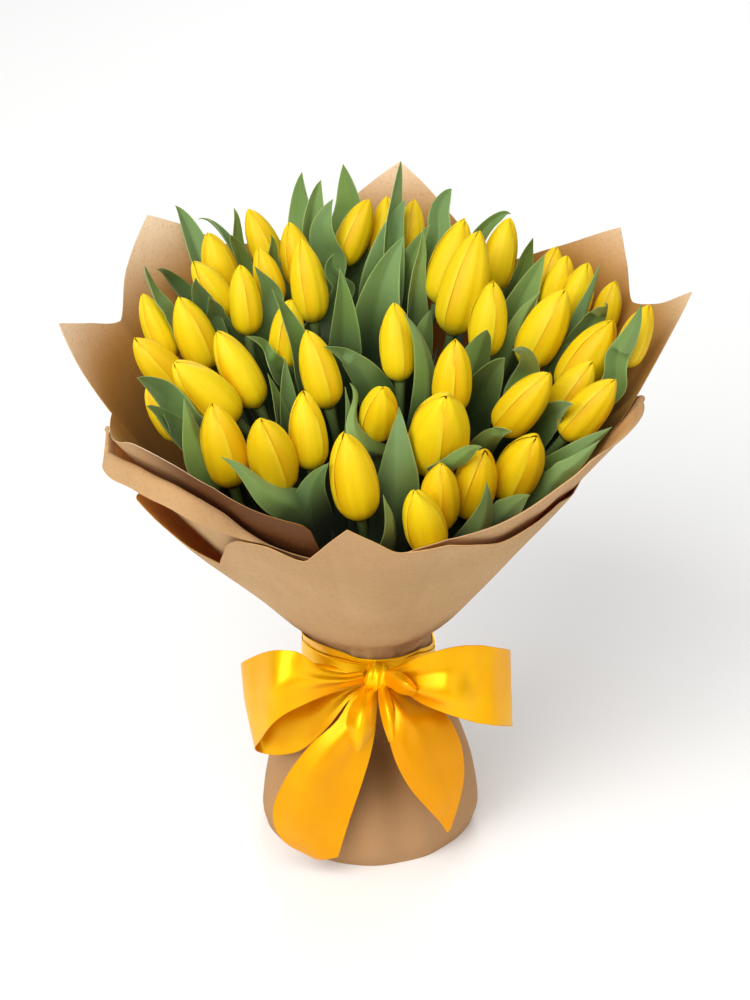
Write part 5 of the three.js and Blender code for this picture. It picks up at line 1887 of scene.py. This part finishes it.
    def fillers(self, draw: np.random.Generator) -> tuple[Array, ...]:
        """Rib lines of the low leaves that close the bunch between its heads.

        Two leave each stem above the waist, to any side, and end beside the foot of its head.

        Args:
            draw: random numbers.

        Returns:
            Places, side directions, inward directions and widths.
        """
        _, stems = self.bundle.stems(np.array(self.low_shares))
        root, mid, end = np.moveaxis(np.concatenate([stems, stems]), 1, 0)
        count = len(root)
        angle = draw.uniform(0, 2 * np.pi, count)
        out = np.stack([np.cos(angle), np.sin(angle), np.zeros(count)], 1)
        mid = mid + out * draw.uniform(*self.low_middle, (count, 1))
        end = end + out * draw.uniform(*self.low_tip, (count, 1))
        end[:, 2] += draw.uniform(*self.low_lift, count)
        place, along = self.bows(root, 2 * mid - (root + end) / 2, end)
        out = np.broadcast_to(out[:, None], along.shape)
        side = unit(np.cross(along, out))
        inward = unit(np.cross(side, along))
        inward = np.where(dot(inward, -out)[..., None] < 0, -inward, inward)
        width = draw.uniform(*self.low_width, (count, 1)) * self.width_share(self.shares)
        for _ in range(self.passes):
            place = place + self.softened(self.clearing(place, side, inward, width))
        return place, side, inward, width

    def build(self) -> None:
        """Makes the blades that show and the ones between the stems."""
        draw = np.random.default_rng(self.seed)
        shown = self.blades(self.spines(), draw)
        make_piece("tulip_leaves", shown, LeafFinish(), ["stems_and_leaves"])
        low = self.blades(self.fillers(draw), draw)
        make_piece("tulip_leaves_low", low, LeafFinish())


# Ribbon and twine


def seen_grid(rows: Sequence[Sequence[Triple]]) -> Array:
    """Places of a table of picture points with depths.

    Args:
        rows: rows of points: across and down in the picture, and the depth.

    Returns:
        The places.
    """
    table = np.array(rows, float)
    return EYE.at_depth(table[..., :2], table[..., 2])


@dataclass(frozen=True)
class Stretch:
    """A stretch of ribbon: rows of three points, each seen at a picture point and a depth.

    It starts at the knot, and also ends there where to_knot is 1. Its length is in metres, and
    cut_off is not used. A swell is a bell-shaped rise: its places and sizes along and across, as
    shares, and its height.
    """

    name: str
    rows: tuple[tuple[Triple, ...], ...]
    length: float = 0.0
    cut_off: float = 0.0
    to_knot: float = 0.0
    pleats: float = 2.5
    # tint is painted shade, darkest on the tails.
    tint: float = 0.0
    swells: tuple[Row, ...] = ()


LEFT_LOOP = Stretch(
    "ribbon_loop_left",
    (
        ((367, 670, -49), (366, 677, -52), (367, 685, -50)),
        ((345, 673, -60), (345, 681, -65), (346, 689, -60)),
        ((322, 668, -66), (321, 682, -73), (324, 696, -69)),
        ((300, 653, -68), (299, 682, -78), (303, 705, -77)),
        ((280, 650, -63), (279, 688, -77), (284, 714, -79)),
        ((262, 653, -54), (262, 694, -69), (268, 729, -75)),
        ((248, 659, -44), (251, 698, -58), (259, 742, -65)),
        ((241, 664, -33), (245, 702, -46), (255, 749, -54)),
        ((247, 667, -22), (252, 708, -35), (262, 753, -44)),
        ((268, 664, -20), (272, 708, -38), (280, 755, -50)),
        ((294, 662, -28), (298, 706, -44), (303, 749, -56)),
        ((322, 664, -36), (326, 696, -50), (328, 727, -60)),
        ((348, 670, -43), (350, 686, -50), (352, 697, -54)),
        ((368, 678, -46), (369, 683, -48), (370, 690, -49)),
    ),
    length=0.231,
    swells=(
        (0.31, 0.4, 0.05, 0.6, 2.2),
        (0.22, 0.35, 0.05, 0.4, -1.8),
        (0.16, 0.8, 0.1, 0.12, -1.5),
        (0.42, 0.5, 0.04, 0.8, -1.0),
    ),
    to_knot=1.0,
)
RIGHT_LOOP = Stretch(
    "ribbon_loop_right",
    (
        ((387, 671, -49), (388, 678, -52), (387, 686, -50)),
        ((404, 663, -60), (405, 680, -66), (403, 692, -61)),
        ((424, 655, -67), (426, 681, -75), (423, 704, -71)),
        ((444, 649, -70), (447, 682, -79), (445, 713, -79)),
        ((460, 646, -68), (464, 684, -75), (463, 719, -79)),
        ((474, 645, -62), (476, 686, -67), (477, 723, -74)),
        ((487, 646, -58), (488, 687, -66), (489, 725, -73)),
        ((500, 648, -48), (500, 688, -56), (502, 726, -64)),
        ((510, 650, -35), (511, 688, -43), (512, 726, -50)),
        ((505, 652, -24), (506, 690, -32), (507, 724, -40)),
        ((486, 654, -22), (487, 689, -32), (488, 719, -42)),
        ((462, 657, -27), (462, 687, -38), (462, 713, -49)),
        ((436, 661, -34), (436, 682, -45), (436, 703, -55)),
        ((412, 667, -41), (411, 680, -48), (410, 693, -53)),
        ((388, 675, -46), (388, 682, -48), (387, 689, -49)),
    ),
    length=0.222,
    swells=(
        (0.20, 0.32, 0.12, 0.2, 4.0),
        (0.18, 0.74, 0.13, 0.13, -2.6),
        (0.355, 0.42, 0.03, 0.35, -2.2),
        (0.42, 0.5, 0.03, 0.8, 1.6),
    ),
    to_knot=1.0,
)
LEFT_TAIL = Stretch(
    "ribbon_tail_left",
    (
        ((364, 684, -53), (370, 687, -55), (376, 689, -54)),
        ((352, 697, -62), (364, 704, -66), (377, 704, -62)),
        ((336, 722, -72), (356, 728, -75), (376, 726, -70)),
        ((310, 745, -77), (342, 754, -80), (371, 754, -76)),
        ((286, 777, -79), (324, 782, -83), (362, 784, -81)),
        ((273, 811, -77), (312, 813, -82), (351, 816, -82)),
        ((282, 839, -75), (313, 838, -79), (344, 838, -81)),
        ((315, 859, -74), (327, 859, -77), (338, 857, -79)),
    ),
    swells=(
        (0.55, 0.3, 0.3, 0.2, 4.4),
        (0.5, 0.78, 0.3, 0.2, -2.4),
        (0.78, 0.55, 0.12, 0.25, 1.4),
    ),
    length=0.150,
    cut_off=0.5,
    # Painted shade on this tail.
    tint=0.5,
)
TAIL_LOBE = Stretch(
    "ribbon_tail_lobe",
    (
        ((368, 687, -55), (372, 689, -56), (377, 690, -55)),
        ((352, 703, -66), (364, 708, -73), (377, 706, -65)),
        ((346, 722, -74), (360, 727, -82), (375, 722, -73)),
        ((346, 736, -77), (359, 742, -84), (371, 734, -77)),
        ((351, 746, -79), (358, 751, -81), (365, 745, -79)),
    ),
    pleats=0,
)
RIGHT_TAIL = Stretch(
    "ribbon_tail_right",
    (
        ((380, 688, -54), (386, 688, -55), (393, 687, -53)),
        ((384, 712, -69), (400, 708, -70), (417, 702, -58)),
        ((388, 735, -79), (415, 728, -78), (444, 713, -60)),
        ((396, 762, -85), (428, 752, -82), (459, 738, -62)),
        ((410, 788, -86), (438, 776, -82), (464, 764, -65)),
        ((428, 809, -84), (448, 796, -80), (463, 785, -69)),
        ((440, 822, -79), (450, 814, -78), (458, 806, -74)),
        ((447, 832, -77), (449, 831, -77), (451, 828, -76)),
    ),
    swells=((0.45, 0.2, 0.25, 0.14, 2.6), (0.5, 0.6, 0.3, 0.22, -2.4)),
    length=0.128,
    cut_off=0.5,
    # Painted shade on this tail, which lies under the right loop.
    tint=0.8,
)
TAIL_STRIP = Stretch(
    "ribbon_tail_strip",
    (
        ((378, 687, -56), (382, 687, -58), (387, 686, -56)),
        ((379, 704, -67), (386, 704, -71), (392, 702, -68)),
        ((383, 724, -76), (390, 722, -79), (395, 720, -76)),
        ((389, 742, -80), (393, 740, -82), (395, 738, -80)),
    ),
    pleats=0,
)
RIGHT_PUFF = Stretch(
    "ribbon_loop_puff",
    (
        ((384, 672, -55), (385, 678, -58), (384, 684, -55)),
        ((392, 671, -64), (394, 680, -69), (391, 688, -64)),
        ((402, 673, -69), (404, 684, -77), (399, 693, -70)),
        ((411, 680, -73), (411, 688, -79), (407, 695, -73)),
        ((417, 688, -74), (416, 691, -76), (413, 695, -74)),
    ),
    pleats=0,
)
STRETCHES = (LEFT_LOOP, RIGHT_LOOP, LEFT_TAIL, RIGHT_TAIL, TAIL_LOBE, TAIL_STRIP, RIGHT_PUFF)


@dataclass
class Ribbon:
    """The satin ribbon: its band round the neck, the knot, two loops and two tails."""

    cloth: float = 0.05
    band_length: float = 0.283
    thickness: float = 0.42
    along: int = 97
    across: int = 25
    pleat_depth: float = 1.5
    pleat_reach: float = 0.26
    calm_end: float = 0.05
    stand_off: float = 0.62
    sunlit: float = 0.9
    band_turns: Row = (
        -180, -135, -90, -70, -43, -24, -7.5, 4, 25, 44, 70, 90, 135, 180,
    )
    band_top: Row = (
        156, 156, 156, 164, 169, 167, 162, 161, 160, 159, 152, 146.5, 151, 156,
    )
    band_low: Row = (
        136, 132, 127, 133, 140, 144.5, 147, 146, 147, 149.5, 143, 137.5, 136, 136,
    )
    band_course: tuple[Row, ...] = ((0, 0.36, 0.7, 1), (0.04, 1, 0.06, 0.72))
    band_layers: tuple[Row, ...] = (
        (0, 0.3, 0.42, 0.64, 0.76, 1), (0, 0, 0.7, 0.8, 1.5, 1.6),
    )
    band_slope: float = 0.75
    band_sides: int = 360
    band_across: int = 61
    band_sway: float = 0.10
    band_puff: Pair = (0.15, 0.55)
    front_width: float = 75.0
    knot_point: Pair = (377.0, 676.5)
    knot_depth: float = -51.0
    knot_size: Triple = (7.6, 8.6, 9.4)
    knot_sides: int = 72
    ridge: Pair = (0.75, 0.35)
    tuck: float = 0.62
    slant: float = 0.12
    shift: float = 1.3
    bulge: float = 0.7

    def stretch(self, part: Stretch) -> Skin:
        """A stretch of ribbon.

        A Catmull-Rom surface through its points, with pleats: a sine across the ribbon that fades
        with the distance from the knot.

        Args:
            part: the stretch.

        Returns:
            Its surface.
        """
        grid = through(seen_grid(part.rows), self.along)
        grid = through(grid.swapaxes(0, 1), self.across).swapaxes(0, 1)
        t = np.linspace(0, 1, self.along)[:, None]
        w = np.linspace(0, 1, self.across)
        near = np.exp(-t / self.pleat_reach * 2)
        near = near + part.to_knot * np.exp(-(1 - t) / self.pleat_reach * 2)
        rise = ease(t / self.calm_end) * ease((1 - t) / self.calm_end)
        pleat = np.sin(2 * np.pi * part.pleats * w + 0.7) * near * rise * self.pleat_depth
        pleat = pleat * np.sin(np.pi * w) ** 0.5 * (part.pleats > 0)
        for along, across, long, wide, high in part.swells:
            pleat = pleat + high * hump(t, along, long) * hump(w, across, wide)
        grid = grid + grid_normals(grid) * pleat[..., None]
        # The stretch's tint is read as painted shade.
        return shell(grid, self.thickness, pattern(w, t * 4), tint=part.tint, sunlit=0.0)

    def band(self, folds: PaperFolds) -> Skin:
        """The band round the neck.

        The ribbon is folded lengthwise in three: its course across runs up, back down and up again,
        each layer a little farther out than the last. Soft folds run along it towards the knot.

        Args:
            folds: how the paper under it is folded.

        Returns:
            The band.
        """
        turns = np.linspace(-180, 180, self.band_sides + 1)[:-1, None]
        angle = np.radians(turns)
        top = smooth_curve(self.band_turns, self.band_top, turns)
        low = smooth_curve(self.band_turns, self.band_low, turns)
        w = np.linspace(0, 1, self.band_across)
        sway = self.band_sway * np.sin(np.radians(3 * turns) + 0.8)
        course = smooth_curve(*self.band_course, w) + sway * ease((w - 0.5) / 0.5)
        height = mix(low, top, course)
        above = np.maximum(0, height - WAIST_HEIGHT - WAIST_HALF)
        paper = WAIST_RADIUS + 2 * LAYER + self.band_slope * above
        front = hump(turns, 0, self.front_width)
        layers = smooth_curve(*self.band_layers, w)
        soft = np.sin(4.4 * np.pi * w + np.radians(4 * turns)) * np.sin(np.pi * w) ** 2
        swell = mix(*self.band_puff, front) * (1 + soft)
        out = paper - folds.dip(turns, height) + self.stand_off + layers + swell
        grid = places_round(angle, out, height)
        uv = pattern(w, turns / 60)
        return shell(grid, self.thickness, uv, closed=True, tint=0.0, sunlit=self.sunlit)

    def knot(self) -> Skin:
        """The knot: a turn of ribbon round the middle of the bow.

        Its course is an oval about the bow's long axis, its width is gathered into slanting ridges,
        and its two margins turn in.

        Returns:
            The knot.
        """
        middle = EYE.at_depth(np.array(self.knot_point), self.knot_depth)
        half, deep, tall = self.knot_size
        w = np.linspace(-1, 1, self.across + 8)
        turn = np.linspace(0, 2 * np.pi, self.knot_sides, endpoint=False)[:, None]
        broad, fine = self.ridge
        ridges = broad * np.cos(2.6 * np.pi * w + 1.1 * np.sin(turn) + 0.5) * (1 - w**2) ** 0.5
        ridges = ridges + fine * np.cos(5.1 * np.pi * w - turn)
        tuck = 1 - self.tuck * abs(w) ** 3.2
        wide = half + self.bulge * np.cos(turn)
        aside = wide * w + self.shift * np.sin(turn)
        back = -(deep * tuck + ridges) * np.cos(turn)
        up = (tall * tuck + ridges) * np.sin(turn) - self.slant * wide * w
        grid = middle + np.stack([aside, back, up], -1)
        uv = pattern((w + 1) / 2, turn / np.pi)
        return shell(grid, self.thickness, uv, closed=True, tint=0.0, sunlit=self.sunlit)

    def build(self, folds: PaperFolds, papers: Sequence[bpy.types.Object]) -> None:
        """Makes the ribbon's pieces.

        Args:
            folds: how the paper under the band is folded.
            papers: the sheets of paper, outermost last; not used.
        """
        satin = SatinFinish()
        band = make_piece("ribbon_wrap", self.band(folds), satin, ["ribbon_band"])
        knot = make_piece("ribbon_knot", self.knot(), satin, ["ribbon_bow"])
        for part in STRETCHES:
            piece = make_piece(part.name, self.stretch(part), satin)


@dataclass
class Twine:
    """Several turns of two-strand twine that bind the stems under the paper."""

    ring: float = 36.5
    turns: int = 5
    pitch: float = 1.9
    strand: float = 0.55
    strand_sides: int = 6
    strand_ring: float = 0.5
    lay: float = 5.0
    points_a_turn: int = 110

    def build(self) -> None:
        """Makes two strands that wind round each other along a flat helix."""
        angle = np.linspace(0, 2 * np.pi * self.turns, self.turns * self.points_a_turn)
        rise = WAIST_HEIGHT + self.pitch * (angle / (2 * np.pi) - self.turns / 2)
        strands = []
        for start in (0, np.pi):
            wind = angle * self.ring / self.lay + start
            out = self.ring + self.strand_ring * np.cos(wind)
            path = places_round(angle, out, rise + self.strand_ring * np.sin(wind))
            strands.append(tube(path, self.strand, self.strand_sides))
        make_piece("stem_twine", Skin.joined(strands), TwineFinish(), ["binding_twine"])


# Studio


def aimed(name: str, data: bpy.types.ID, place: Sequence[float], way: Vector) -> bpy.types.Object:
    """Puts a lamp or a camera into the scene.

    Args:
        name: its name.
        data: the lamp or the camera.
        place: where it stands, in metres.
        way: the way that it looks.

    Returns:
        The object.
    """
    thing = placed(name, data)
    thing.location = place
    thing.rotation_mode = "QUATERNION"
    thing.rotation_quaternion = way.to_track_quat("-Z", "Y")
    return thing


@dataclass(frozen=True)
class Lamp:
    """A soft square lamp: its place in metres, its size and its power."""

    name: str
    place: Triple
    size: float
    power: float
    colour: Colour = (1.0, 1.0, 1.0)


@dataclass
class Studio:
    """Camera, lamps, pale surroundings and the floor."""

    aim: Triple = (0.0, 0.0, 0.25)
    sensor: float = 36.0
    clip: Pair = (0.05, 50.0)
    surroundings: float = 0.42
    sky: tuple[float, float, float, float] = (0.97, 0.98, 1.0, 1.0)
    floor_side: float = 6.0
    floor_height: float = -0.0002
    lamps: tuple[Lamp, ...] = (
        Lamp("key_lamp", (-0.75, -1.35, 1.95), 1.8, 56.0, (1.0, 0.985, 0.95)),
        Lamp("side_lamp", (-1.7, -1.5, 1.1), 1.0, 11.0),
        Lamp("fill_lamp", (1.9, -1.7, 1.2), 1.8, 14.0, (0.97, 0.98, 1.0)),
        Lamp("back_lamp", (0.3, 1.9, 1.7), 1.2, 20.0),
    )

    def camera(self) -> None:
        """Puts the camera where the eye is."""
        data = bpy.data.cameras.new("camera")
        data.sensor_width = self.sensor
        data.lens = self.sensor * EYE.distance / (EYE.point_size * EYE.picture_height)
        data.clip_start, data.clip_end = self.clip
        place = Vector(EYE.place * MM)
        bpy.context.scene.camera = aimed("camera", data, place, Vector(-EYE.back))

    def lights(self) -> None:
        """Lights the bunch softly from the upper left."""
        for lamp in self.lamps:
            data = bpy.data.lights.new(lamp.name, "AREA")
            data.size, data.energy, data.color = lamp.size, lamp.power, lamp.colour
            aimed(lamp.name, data, lamp.place, Vector(self.aim) - Vector(lamp.place))
        world = bpy.data.worlds.new("surroundings")
        world.use_nodes = True
        sky = world.node_tree.nodes["Background"]
        sky.inputs["Color"].default_value = self.sky
        sky.inputs["Strength"].default_value = self.surroundings
        bpy.context.scene.world = world
        bpy.context.scene.view_settings.view_transform = "Standard"

    def floor(self) -> None:
        """A pale floor, just under the cut ends."""
        mesh = bpy.data.meshes.new("floor")
        side, low = self.floor_side, self.floor_height
        corners = [(-side, -side, low), (side, -side, low), (side, side, low), (-side, side, low)]
        mesh.from_pydata(corners, [], [(0, 1, 2, 3)])
        mesh.materials.append(FloorFinish().material())
        floor = placed("floor", mesh)

    def build(self) -> None:
        """Sets the studio up."""
        self.camera()
        self.lights()
        self.floor()


def main() -> None:
    """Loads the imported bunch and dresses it."""
    logging.basicConfig(level=logging.INFO, format="%(name)s %(message)s")
    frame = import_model()
    Studio().build()
    heads = Heads.read(frame["nodes"])
    bundle = Bundle(heads)
    folds = PaperFolds()
    TulipHeads(heads).build()
    make_piece("tulip_stems", Stems(bundle).build(), StemFinish())
    Leaves(bundle).build()
    Twine().build()
    under: list[KraftSheet] = []
    papers = []
    for cut in (BACK_SHEET, MIDDLE_SHEET, OUTER_SHEET):
        sheet = KraftSheet(cut, folds)
        skin = sheet.skin(under)
        papers.append(make_piece(cut.name, skin, KraftFinish(), [cut.node]))
        under.append(sheet)
    Ribbon().build(folds, papers)


if __name__ == "__main__":
    main()
